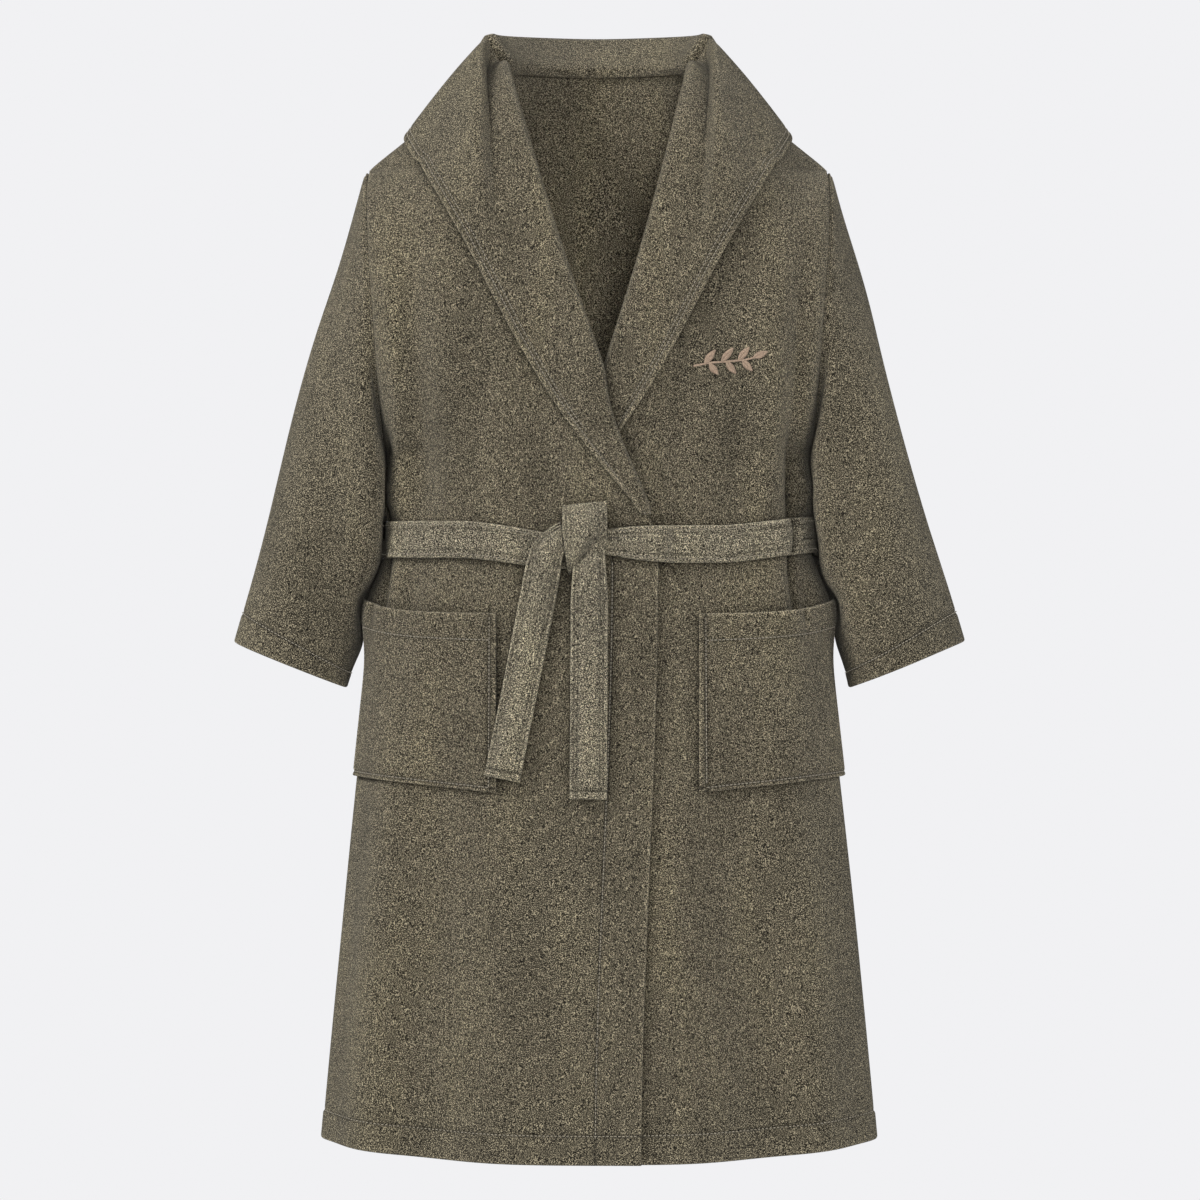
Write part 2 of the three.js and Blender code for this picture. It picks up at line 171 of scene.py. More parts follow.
SIDE_FOLD = {RIGHT: 221 * MM, LEFT: 203 * MM}  # crease beside each side seam, where the belt pulls in
CREASE_DEPTH, CREASE_WIDTH = 9 * MM, 3.5 * MM
PLEAT, SKIRT_WAVE, CHEST_WAVE = 2.6 * MM, 6 * MM, 3.6 * MM
BLOUSE = 12 * MM  # how far the cloth bags out at the sides above and below the belt


def bump(x, centre, width):
    return np.exp(-(((x - centre) / width) ** 2))


def folds(turn, z, face):
    """Outward displacement. Pleats fan out above and below the belt, and soft waves run down the skirt."""
    below = WAIST_Z - z
    near_belt = np.exp(-np.abs(below) / (110 * MM))
    pleats = np.sin(turn * 9 + 0.7) + 0.7 * np.sin(turn * 15 + 2.1 + 3 * z)
    pull = PLEAT * near_belt * pleats * smooth(np.abs(below), 10 * MM, 60 * MM)
    wave = np.sin(turn * 6 + 1.3) + 0.7 * np.sin(turn * 11 + 0.4 + 1.5 * z)
    skirt = SKIRT_WAVE * wave * smooth(below, 40 * MM, 460 * MM)
    drift = np.sin(turn * 9 + 1.4 + 3 * z) + 0.6 * np.sin(turn * 16 + 0.3)
    chest = CHEST_WAVE * drift * smooth(-z, 150 * MM, 300 * MM) * smooth(z, WAIST_Z, WAIST_Z + 60 * MM)
    out = pull + skirt + chest
    if face == FRONT:
        x = np.abs(bare_skin(turn, z, face)[..., 0])
        for side in (RIGHT, LEFT):
            own = np.where(np.sign(turn) == side, x, 0)
            spot = SIDE_FOLD[side] + 10 * MM * smooth(below, 20 * MM, 130 * MM)
            reach = smooth(z, -620 * MM, -575 * MM) * (1 - smooth(z, -450 * MM, -370 * MM))
            out = out - CREASE_DEPTH * reach * bump(own, spot, CREASE_WIDTH)
            out = out + 3 * MM * reach * bump(own, spot - 11 * MM, 9 * MM)
    edge = smooth(z, UNDERARM_Z - 20 * MM, UNDERARM_Z + 60 * MM)
    hold = 1 - edge * smooth(np.abs(turn), 1.0, 1.45)
    blouse = BLOUSE * smooth(np.abs(turn), 1.1, 1.5)
    blouse = blouse * (bump(z, -458 * MM, 22 * MM) + bump(z, -582 * MM, 38 * MM))
    return out * hold + blouse


def skin(turn, z, offset, face):
    turn, z, offset = np.broadcast_arrays(turn, z, offset)
    normal = bare_normal(turn, z, face)
    stand = folds(turn, z, face) + offset
    return bare_skin(turn, z, face) + normal * stand[..., None]


# ---- edges shared by the fronts and the collar: distances from the middle to the own side ----


def roll_line(z, side):
    t = np.clip(z / CROSS_Z, 0, 1)
    above = mix(NECK_HALF - 8 * MM, side * CROSS_X, t) + 5 * MM * np.sin(math.pi * t)
    below = mix(side * CROSS_X, -WRAP, smooth(z, CROSS_Z, BELT_BOTTOM))
    below = below + (WRAP - HEM_WRAP) * smooth(z, BELT_BOTTOM, HEM_Z)
    return np.where(z > CROSS_Z, above, below)


def lapel_edge(z, side):
    start = 0.7 * SHOULDER_Z
    t = np.clip((z - start) / (LAPEL_END - start), 0, 1)
    tip = roll_line(np.array(LAPEL_END), side) + 4 * MM
    wave = np.sin(math.pi * t) * (LAPEL_SWING[side] - LAPEL_BELLY * np.cos(math.pi * t))
    return mix(FALL_X + 5 * MM, tip, t) + wave


OVER_LIFT = 8.5 * MM
CROSSING_LIFT = 6 * MM  # more where the right lapel also passes over the left one


def overlap_lift(x, z):
    across = smooth(x, -0.9 * half_width(z), -WRAP - 8 * MM)
    lapels = CROSSING_LIFT * bump(z, -375 * MM, 75 * MM) * smooth(x, -85 * MM, -30 * MM)
    return (OVER_LIFT * across + lapels) * smooth(-z, 115 * MM, 297 * MM)


# ---- meshes ----


PAINTED_LIGHT_ATTR = "painted_light"  # point attribute of painted light: painted shade darkens the pile in a seam's groove and a painted highlight lightens it along an edge


def link(name, verts, faces, material):
    mesh = bpy.data.meshes.new(name)
    mesh.from_pydata([tuple(v) for v in verts], [], [tuple(f) for f in faces])
    mesh.update()
    obj = bpy.data.objects.new(name, mesh)
    bpy.context.scene.collection.objects.link(obj)
    mesh.materials.append(material)
    # terry gets a point attribute of painted light, all ones until a sheet paints its shade and highlight
    # into it
    if material.name.startswith("terry"):
        mesh.attributes.new(PAINTED_LIGHT_ATTR, "FLOAT_COLOR", "POINT").data.foreach_set(
            "color", np.ones(4 * len(mesh.vertices)))
    mesh.polygons.foreach_set("use_smooth", [True] * len(mesh.polygons))
    return obj


def grid_normals(points, wrap=False):
    """Normals of a grid of points by central differences. They face the viewer when u runs right, v down."""
    du = np.empty_like(points)
    if wrap:
        du = np.roll(points, -1, 0) - np.roll(points, 1, 0)
    else:
        du[1:-1] = points[2:] - points[:-2]
        du[0], du[-1] = points[1] - points[0], points[-1] - points[-2]
    dv = np.empty_like(points)
    dv[:, 1:-1] = points[:, 2:] - points[:, :-2]
    dv[:, 0], dv[:, -1] = points[:, 1] - points[:, 0], points[:, -1] - points[:, -2]
    return unit(np.cross(dv, du))


def lengths(points, axis):
    step = np.linalg.norm(np.diff(points, axis=axis), axis=-1)
    total = np.cumsum(step, axis=axis)
    pad = [(0, 0), (0, 0)]
    pad[axis] = (1, 0)
    return np.pad(total, pad)


# Painted light in the cloth colour: a painted highlight along every sheet edge and painted shade in its
# stitch grooves.
EDGE_PAINTED_HIGHLIGHT = 0.6
GROOVE_PAINTED_SHADE = 0.6
EDGE_REACH = 2.4 * MM
FULL_SHADE_DEPTH = 1.2 * MM  # a groove this deep gets the full painted shade


def cloth_sheet(name, points, material, thick, groove=None, flip=False, wrap=False):
    """A closed sheet round a grid of mid points [u, v], with rounded edges. groove is a depth per point.

    A wrapped grid closes in u, and then has edges only at the two ends of v.
    """
    nu, nv = points.shape[:2]
    normal = grid_normals(points, wrap) * (-1 if flip else 1)
    half = np.full((nu, nv), thick / 2) if np.isscalar(thick) else thick / 2
    radius = np.maximum(half.max() * 1.1, 1e-6)
    from_v = lengths(points, 1)
    near = np.minimum(from_v, from_v[:, -1:] - from_v)
    if not wrap:
        from_u = lengths(points, 0)
        near = np.minimum(near, np.minimum(from_u, from_u[-1:] - from_u))
    share = np.clip(near / radius, 0, 1)
    half = half * np.maximum(np.sqrt(1 - (1 - share) ** 2), 0.04)
    sink = 0 if groove is None else groove[..., None] * normal
    outer = points + normal * half[..., None] - sink
    inner = points - normal * half[..., None]
    verts = np.concatenate([outer.reshape(-1, 3), inner.reshape(-1, 3)])
    base = nu * nv
    faces = []
    columns = nu if wrap else nu - 1
    index = np.arange(nu * nv).reshape(nu, nv)
    a, b = index[:columns], np.roll(index, -1, 0)[:columns]
    quads = np.stack([a[:, :-1], b[:, :-1], b[:, 1:], a[:, 1:]], -1).reshape(-1, 4)
    faces += quads[:, ::-1].tolist()
    faces += (quads + base).tolist()

    def wall(line, turned):
        q = np.stack([line[:-1], line[1:], line[1:] + base, line[:-1] + base], -1)
        return (q[:, ::-1] if turned else q).tolist()

    for end, turned in ((0, False), (-1, True)):
        faces += wall(np.append(index[:, end], index[0, end]) if wrap else index[:, end], turned)
    if not wrap:
        faces += wall(index[0], True)
        faces += wall(index[-1], False)
    if flip:
        faces = [f[::-1] for f in faces]
    # painted highlight along the sheet's edges on both faces, and painted shade in the grooves of the outer
    # face
    edge = 1 + EDGE_PAINTED_HIGHLIGHT * np.exp(-((near / EDGE_REACH) ** 2))
    painted_light = edge if groove is None else edge * (1 - GROOVE_PAINTED_SHADE * np.clip(groove / FULL_SHADE_DEPTH, 0, 1))
    obj = link(name, verts + ORIGIN, faces, material)
    colours = np.ones((len(verts), 4))
    colours[:base, :3] = painted_light.reshape(-1, 1)
    colours[base:, :3] = edge.reshape(-1, 1)
    obj.data.attributes[PAINTED_LIGHT_ATTR].data.foreach_set("color", colours.ravel())
    return obj


def spaced(length, step, marks=(), ends=(True, True)):
    """Distances from 0 to length about step apart, closer at rounded ends and round each mark."""
    at_end = np.array([0.0, 0.35, 1.0, 2.0, 3.4]) * MM
    values = [np.linspace(0, length, max(2, int(round(length / step)) + 1))]
    if ends[0]:
        values.append(at_end)
    if ends[1]:
        values.append(length - at_end)
    for m in marks:
        values.append(m + np.array([-3.2, -1.6, -0.7, 0, 0.7, 1.6, 3.2]) * MM)
    line = np.unique(np.round(np.concatenate(values), 6))
    line = line[(line >= 0) & (line <= length)]
    kept = [line[0]]
    for value in line[1:]:
        if value - kept[-1] > 0.3 * MM:
            kept.append(value)
    kept[-1] = length
    return np.array(kept)


# ---- materials ----


def node_material(name):
    material = bpy.data.materials.new(name)
    material.use_nodes = True
    tree = material.node_tree
    return material, tree, tree.nodes["Principled BSDF"]


def ramp(tree, source, stops):
    node = tree.nodes.new("ShaderNodeValToRGB")
    elements = node.color_ramp.elements
    while len(elements) < len(stops):
        elements.new(0.5)
    for element, (place, colour) in zip(elements, stops):
        element.position = place
        element.color = (*colour, 1)
    tree.links.new(source, node.inputs["Fac"])
    return node.outputs["Color"]


def noise(tree, scale, detail, stretch=(1, 1, 1), rough=0.5):
    where = tree.nodes.new("ShaderNodeTexCoord")
    mapping = tree.nodes.new("ShaderNodeMapping")
    mapping.inputs["Scale"].default_value = stretch
    tree.links.new(where.outputs["Object"], mapping.inputs["Vector"])
    node = tree.nodes.new("ShaderNodeTexNoise")
    node.inputs["Scale"].default_value = scale
    node.inputs["Detail"].default_value = detail
    node.inputs["Roughness"].default_value = rough
    tree.links.new(mapping.outputs["Vector"], node.inputs["Vector"])
    return node.outputs["Fac"]


def multiply(tree, a, b):
    node = tree.nodes.new("ShaderNodeMix")
    node.data_type = "RGBA"
    node.blend_type = "MULTIPLY"
    node.inputs["Factor"].default_value = 1
    tree.links.new(a, node.inputs["A"])
    tree.links.new(b, node.inputs["B"])
    return node.outputs["Result"]


def add_bump(tree, shader, height, strength, distance):
    bumped = tree.nodes.new("ShaderNodeBump")
    bumped.inputs["Strength"].default_value = strength
    bumped.inputs["Distance"].default_value = distance
    tree.links.new(height, bumped.inputs["Height"])
    tree.links.new(bumped.outputs["Normal"], shader.inputs["Normal"])


def terry(name, tint, loops=1.0):
    """Loop pile: dark gaps between lit loops, small clumps and broad brushed patches, times painted light:
    painted groove shade and edge highlight from a point attribute, and painted shade from ambient occlusion.
    """
    material, tree, shader = node_material(name)
    tint = np.array(tint)
    grain = noise(tree, 1120 * loops, 0.5, (1, 1, 0.85), 0.6)
    pile = ramp(tree, grain, [
        (0.34, tint * 0.04), (0.45, tint * 0.42), (0.56, tint * 1.25), (0.68, tint * 4.2)])
    clump = noise(tree, 190, 2.0)
    clumps = ramp(tree, clump, [(0.3, (0.9, 0.9, 0.9)), (0.7, (1.08, 1.08, 1.07))])
    brushed = noise(tree, 9, 3.0, (2.2, 2.2, 0.5))
    patches = ramp(tree, brushed, [
        (0.3, (0.80, 0.80, 0.80)), (0.5, (1, 1, 1)), (0.7, (1.18, 1.18, 1.13))])
    colour = multiply(tree, pile, clumps)
    colour = multiply(tree, colour, patches)
    # painted light: the point attribute's painted shade and painted highlight multiply the base colour
    painted_light_node = tree.nodes.new("ShaderNodeAttribute")
    painted_light_node.attribute_name = PAINTED_LIGHT_ATTR
    colour = multiply(tree, colour, painted_light_node.outputs["Color"])
    # painted shade: ambient occlusion darkens the base colour in recesses, under overlapping pieces and
    # between parts
    hollow = tree.nodes.new("ShaderNodeAmbientOcclusion")
    hollow.samples = 8
    hollow.inputs["Distance"].default_value = 34 * MM
    shade = ramp(tree, hollow.outputs["AO"], [(0.25, (0.16, 0.16, 0.15)), (0.85, (1, 1, 1))])
    colour = multiply(tree, colour, shade)
    tree.links.new(colour, shader.inputs["Base Color"])
    shader.inputs["Roughness"].default_value = 0.95
    shader.inputs["Specular IOR Level"].default_value = 0.15
    shader.inputs["Sheen Weight"].default_value = 0.35
    shader.inputs["Sheen Roughness"].default_value = 0.45
    shader.inputs["Sheen Tint"].default_value = (0.75, 0.7, 0.58, 1)
    add_bump(tree, shader, grain, 1.0, 2.2 * MM)
    return material


def thread_material(name, tint):
    material, tree, shader = node_material(name)
    tint = np.array(tint)
    strand = noise(tree, 900, 1.0)
    colour = ramp(tree, strand, [(0.35, tint * 0.7), (0.65, tint * 1.25)])
    tree.links.new(colour, shader.inputs["Base Color"])
    shader.inputs["Roughness"].default_value = 0.6
    shader.inputs["Sheen Weight"].default_value = 0.2
    add_bump(tree, shader, strand, 0.5, 0.3 * MM)
    return material


OLIVE = (0.138, 0.118, 0.080)
TERRY = terry("terry", OLIVE)
TERRY_BELT = terry("terry_belt", (0.205, 0.180, 0.128))
TERRY_STRAP = terry("terry_strap", (0.155, 0.132, 0.092), 1.3)
SEWING = thread_material("sewing_thread", (0.40, 0.35, 0.26))
EMBROIDERY = thread_material("embroidery_thread", (0.42, 0.30, 0.21))

# ---- stitches ----

def stitches(name, runs, pitch=4.2 * MM, length=3.1 * MM, radius=0.55 * MM):
    """Dashes of thread along lines of points. Each dash is a six-sided bead with pointed ends."""
    verts, faces = [], []
    for points, normals in runs:
        gaps = np.linalg.norm(np.diff(points, axis=0), axis=1)
        place = np.concatenate([[0], np.cumsum(gaps)])
        count = int(place[-1] / pitch)
        for k in range(count):
            middle = (k + 0.5) * pitch
            ends = []
            for s in (-0.5, -0.3, 0.3, 0.5):
                at = middle + s * length
                p = np.array([np.interp(at, place, points[:, i]) for i in range(3)])
                n = np.array([np.interp(middle, place, normals[:, i]) for i in range(3)])
                ends.append((p, n))
            ahead = unit(ends[-1][0] - ends[0][0])
            start = len(verts)
            for (p, n), r, rise in zip(ends, (0.45, 1, 1, 0.45), (-0.3, 0.35, 0.35, -0.3)):
                aside = unit(np.cross(ahead, n))
                up = unit(np.cross(aside, ahead))
                for j in range(6):
                    a = j * math.pi / 3
                    verts.append(p + radius * (r * (math.cos(a) * aside + math.sin(a) * up) + rise * up))
            for ring in range(3):
                for j in range(6):
                    a = start + ring * 6 + j
                    b = start + ring * 6 + (j + 1) % 6
                    faces.append((a, b, b + 6, a + 6))
            faces.append(tuple(start + j for j in reversed(range(6))))
            faces.append(tuple(start + 18 + j for j in range(6)))
    return link(name, np.array(verts) + ORIGIN, faces, SEWING)


# ---- body panels ----

NECK_RISE = 10 * MM  # the back neck curves up this far between the shoulders
HEM_STITCH = 30 * MM
FACING_STITCH = 48 * MM
FREE_STEPS = spaced(84 * MM, 7 * MM, [FACING_STITCH], (True, False))
SEAM_GAP = 0.3 * MM
SEAM_TURN = math.pi / 2 - (SEAM_GAP / CHEST[1]) ** (SECTION_POWER / 2)


def heights(low, step, marks):
    """Fractions of the way down a panel: fine over the shoulder, even below, close at the hem stitch."""
    length = -low
    line = spaced(length, step, [length - m for m in marks], (False, True))
    start = np.linspace(0, 1, 24) ** 2 * 60 * MM
    line = np.unique(np.concatenate([start, line[line > 62 * MM]]))
    return line / length


def turned_in(from_end, stitch):
    return 1.2 * MM * (1 - smooth(from_end, stitch - 2 * MM, stitch + 3 * MM))


def hem_bulge(above_hem):
    """The turned-up hem makes the cloth thicker below its stitch line."""
    return turned_in(above_hem, HEM_STITCH)


def groove_at(distance, depth=1.3 * MM, width=1.7 * MM):
    return depth * np.exp(-((distance / width) ** 2))


def dipped(turn, z):
    share = np.clip((BELT_BOTTOM - z) / (BELT_BOTTOM - HEM_Z), 0, 1)
    return z - HEM_DIP * np.cos(turn) ** 2 * share


def panel_edge(z, side):
    """The front's free edge. Along the lapel it stops inside the collar's roll."""
    return roll_line(z, side) + 7 * MM * smooth(z, LAPEL_END - 8 * MM, LAPEL_END + 4 * MM)


FRONT_COLUMNS = 46


def front_turns(z, side, columns):
    """Turns from the free edge to the side seam: metric steps first, then even steps of angle."""
    edge = panel_edge(z, side)[None]
    near = turn_of(edge + FREE_STEPS[:, None], z[None])
    share = np.linspace(0, 1, columns + 1)[1:, None]
    return np.concatenate([near, mix(near[-1:], SEAM_TURN, share)])


def front_offset(turn, z, side, offset):
    if side == RIGHT:
        return offset + overlap_lift(-np.abs(bare_skin(turn, z, FRONT)[..., 0]) * np.sign(turn), z)
    return offset + 0 * turn


def on_front(turn, z, offset, side):
    """A place on one side of the front. turn is positive towards the own side."""
    return skin(side * turn, dipped(turn, z), front_offset(turn, z, side, offset), FRONT)


def column_turns(z, side):
    """The turn of every column at its own height. z is one height for each column."""
    return front_turns(z, side, FRONT_COLUMNS)[np.arange(len(z)), np.arange(len(z))]


def front_panel(name, side):
    down = heights(HEM_Z, 9 * MM, [HEM_STITCH])
    columns = len(FREE_STEPS) + FRONT_COLUMNS
    top = np.zeros(columns)  # the shoulder end of each column
    for _ in range(12):
        top = shoulder_line(np.sin(column_turns(top, side)) ** (2 / SECTION_POWER) * half_width(top))
    top = top - 0.02 * MM
    z = top[:, None] + (HEM_Z - top[:, None]) * down[None]
    turn = np.stack([column_turns(z[:, j], side) for j in range(z.shape[1])], 1)
    above_hem = z - HEM_Z
    offset = CLOTH / 2 + hem_bulge(above_hem) / 2
    points = on_front(turn, z, offset, side)
    from_edge = np.where(np.arange(columns) < len(FREE_STEPS), 0, 1.0)[:, None] + 0 * z
    from_edge[: len(FREE_STEPS)] = FREE_STEPS[:, None]
    faced = 1 - smooth(z, BELT_TOP - 30 * MM, BELT_TOP)
    groove = groove_at(above_hem - HEM_STITCH) + groove_at(from_edge - FACING_STITCH) * faced
    thick = np.full_like(z, CLOTH) + hem_bulge(above_hem)
    return cloth_sheet(name, points, TERRY, thick, groove, flip=side == RIGHT)


def back_panel():
    down = heights(HEM_Z, 10 * MM, [HEM_STITCH])
    turn = np.linspace(-SEAM_TURN, SEAM_TURN, 121)
    top_x = np.sin(np.abs(turn)) ** (2 / SECTION_POWER) * SHOULDER_HALF
    top = np.minimum(shoulder_line(top_x), NECK_RISE) - 0.02 * MM
    z = top[:, None] + (HEM_Z - top[:, None]) * down[None]
    above_hem = z - HEM_Z
    points = skin(turn[:, None], z, CLOTH / 2 + hem_bulge(above_hem) / 2, BACK)
    thick = np.full_like(z, CLOTH) + hem_bulge(above_hem)
    return cloth_sheet("back_panel", points, TERRY, thick, groove_at(above_hem - HEM_STITCH), flip=True)


# ---- camera, light and stage ----

VIEW_WIDTH = 1.296  # metres across the picture at the robe
CAMERA_DISTANCE = 4.6
CAMERA_X, CAMERA_Z = 0.002, -0.572


def make_camera():
    data = bpy.data.cameras.new("camera")
    data.sensor_width = 36
    data.lens = 36 * CAMERA_DISTANCE / VIEW_WIDTH
    data.clip_end = 50
    camera = bpy.data.objects.new("camera", data)
    camera.location = (CAMERA_X, SIDE_Y - CAMERA_DISTANCE, NECK_Z + CAMERA_Z)
    camera.rotation_euler = (math.pi / 2, 0, 0)
    bpy.context.scene.collection.objects.link(camera)
    bpy.context.scene.camera = camera


def area_light(name, place, target, size, watts):
    data = bpy.data.lights.new(name, "AREA")
    data.energy = watts
    data.size = size
    light = bpy.data.objects.new(name, data)
    light.location = place
    light.rotation_euler = (Vector(target) - Vector(place)).to_track_quat("-Z", "Y").to_euler()
    bpy.context.scene.collection.objects.link(light)


def make_stage():
    """A plain pale bowl round the robe, from the floor up. It only shows, and lights and shades nothing."""
    floor_z, radius, wall = panel_lo.z - 0.6, 9.0, 3.0
    profile = [(0, floor_z), (radius - wall, floor_z)]
    for a in np.linspace(0, math.pi / 2, 9)[1:]:
        profile.append((radius - wall + wall * math.sin(a), floor_z + wall * (1 - math.cos(a))))
    profile.append((radius, floor_z + 12))
    sides = 64
    verts = [(r * math.cos(a), r * math.sin(a), z) for a in round_turns(sides) for r, z in profile]
    n = len(profile)
    faces = [(k * n + i, (k + 1) % sides * n + i, (k + 1) % sides * n + i + 1, k * n + i + 1)
             for k in range(sides) for i in range(n - 1)]
    material, _, shader = node_material("backdrop")
    shader.inputs["Base Color"].default_value = (0, 0, 0, 1)
    shader.inputs["Specular IOR Level"].default_value = 0
    shader.inputs["Emission Color"].default_value = (0.879, 0.879, 0.896, 1)
    shader.inputs["Emission Strength"].default_value = 1
    backdrop = link("backdrop", np.array(verts), faces, material)
    backdrop.visible_diffuse = backdrop.visible_glossy = backdrop.visible_shadow = False


def make_light():
    """Soft light from the upper left, more by the camera, a weak one at the right and one behind."""
    world = bpy.data.worlds.new("studio")
    bpy.context.scene.world = world
    world.use_nodes = True
    world.node_tree.nodes["Background"].inputs["Color"].default_value = (0.94, 0.96, 1, 1)
    world.node_tree.nodes["Background"].inputs["Strength"].default_value = 0.28
    middle = (0, SIDE_Y, NECK_Z - 0.5)
    area_light("key", (-2.7, -2.0, 1.9), middle, 0.9, 84)
    area_light("front", (0.3, -4.6, -0.3), middle, 1.0, 92)
    area_light("rim", (2.8, -0.9, 0.7), middle, 1.2, 16)
    area_light("behind", (-0.6, 4.2, 1.4), middle, 1.6, 60)


# ---- strips inside the free edges and the hem ----


def facing(name, side):
    z = np.linspace(BELT_TOP - 40 * MM, HEM_Z + HEM_STITCH + 2 * MM, 74)
    across = np.array([9, 12, 20, 32, 42, 46]) * MM
    turn = turn_of(roll_line(z, side)[None] + across[:, None], z[None])
    points = on_front(turn, z[None] + 0 * turn, -GAP - STRIP / 2, side)
    return cloth_sheet(name, points, TERRY, STRIP, flip=side == RIGHT)


def turned_hem(name, face, side=LEFT):
    z = np.linspace(HEM_Z + HEM_STITCH - 1 * MM, HEM_Z + 1 * MM, 8)
    if face == BACK:
        turn = np.linspace(-SEAM_TURN, SEAM_TURN, 97)[:, None] + 0 * z[None]
        points = skin(turn, z[None] + 0 * turn, -GAP - STRIP / 2, BACK)
        return cloth_sheet(name, points, TERRY, STRIP, flip=True)
    first = turn_of(roll_line(z, side) + 2 * MM, z)
    turn = mix(first[None], SEAM_TURN, np.linspace(0, 1, 60)[:, None])
    points = on_front(turn, z[None] + 0 * turn, -GAP - STRIP / 2, side)
    return cloth_sheet(name, points, TERRY, STRIP, flip=side == RIGHT)


# ---- shawl collar: a stand up to the fold, and a fall or lapel down from it ----

ROLL_RISE = 33 * MM  # the fold above the back neck seam
COLLAR_THICK = 5 * MM
COLLAR_OFFSET = CLOTH + 3 * MM + COLLAR_THICK / 2
FOLD_X = 120 * MM  # the fold over the shoulder
FALL_DEPTH = 98 * MM  # how low the fall hangs in the middle of the back
PUFF_END = 0.5  # how far down the lapel the standing fold has died away
LEFT_END = 0.86  # the left lapel stops under the right front
BACK_RISE = 11 * MM  # the fold is this much higher in the middle of the back
STAND_OFF = 13 * MM
LEG = 32 * MM
EDGE_STEPS = np.array([15, 13.5, 12, 10.5, 8.8, 7.2, 5.8, 4.2, 2.6, 1.5, 0.7, 0.25, 0]) * MM
EDGE_STITCH = 7.2 * MM
LEGS, ARC, STAND, FALL = 5, 7, 13, 20


def shoulder_fold():
    return ROLL_RISE - shoulder_line(FOLD_X) - COLLAR_OFFSET


def station_z(x, down):
    level = mix(shoulder_line(FOLD_X), LAPEL_END, down)
    return level + (shoulder_line(x) - shoulder_line(FOLD_X)) * (1 - down) ** 2.5


def lapel_profile(down, side):
    """One row of the lapel: from inside the front, round the roll line, over the fold, down to the edge."""
    inner = outer = 100 * MM
    for _ in range(12):
        inner = float(roll_line(station_z(inner, down), side))
        outer = float(lapel_edge(station_z(outer, down), side))
    below = smooth(down, 0.45, 0.62)  # under the crossing the lapel has no leg inside
    tuck = 0.0
    if side == LEFT:
        cover = -float(roll_line(station_z(inner, down), RIGHT))
        tuck = max(0.0, cover - 24 * MM - inner)
        inner += tuck
    near_shoulder = float(smooth(down, 0, 0.12))
    leg = mix(mix(8 * MM, LEG, near_shoulder), 1.2 * MM, below)
    leg_offset = mix(-3 * MM, CLOTH / 2, below)
    if tuck:
        leg_offset = mix(leg_offset, COLLAR_OFFSET - 1 * MM, min(1, tuck / (10 * MM)))
    radius = (COLLAR_OFFSET - leg_offset) / 2
    centre = inner + max(radius, 0.6 * MM)
    outer = max(outer, centre + 6 * MM)
    height = shoulder_fold() * (1 - smooth(down, 0, PUFF_END)) ** 1.25
    reach = outer - centre
    fold = np.clip((FOLD_X - centre) / reach, 0.18, 0.7)
    share = [(s, leg_offset) for s in centre + leg * np.linspace(1, 0.12, LEGS)]
    for k in range(ARC):
        a = math.pi * (k + 0.5) / ARC
        share.append((centre - radius * math.sin(a), leg_offset + radius * (1 - math.cos(a))))
    rise = [0.0] * len(share)
    steps = EDGE_STEPS * min(1, reach / (45 * MM))
    body = np.concatenate([
        fold * np.linspace(0, 1, STAND) ** 0.7,
        mix(fold, 1 - steps[0] / reach, np.linspace(0, 1, FALL + 2)[1:-1] ** 1.25),
        1 - steps / reach])
    for q in body:
        climb = np.clip(q / fold, 0, 1)
        fall = np.clip((q - fold) / (1 - fold), 0, 1)
        up = 0.06 * climb + 0.94 * smooth(climb, 0.74, 1.0)
        flare = 3.5 * MM * float(smooth(q, 0.8, 1.0)) * near_shoulder
        share.append((centre + q * reach, COLLAR_OFFSET + flare))
        rise.append(height * float(up if q < fold else 1 - fall**1.35))
    x = np.array([s[0] for s in share])
    offset = np.array([s[1] for s in share])
    rise = np.array(rise)
    z = station_z(x, down)
    turn = turn_of(x, z)
    lift = overlap_lift(-x, z) if side == RIGHT else 0
    base = skin(side * turn, z, offset + lift, FRONT)
    drop = shoulder_line(x) - z
    ridge = np.stack([side * x, 0 * x, shoulder_line(x) + offset], -1)
    base = mix(ridge, base, smooth(drop, 0, 7 * MM)[:, None])
    upright = np.array([0, 0, 1.0])
    lean = smooth(drop, 0, 150 * MM)[:, None]
    direction = unit(mix(upright, bare_normal(side * turn, z, FRONT), lean))
    return base + direction * rise[:, None]


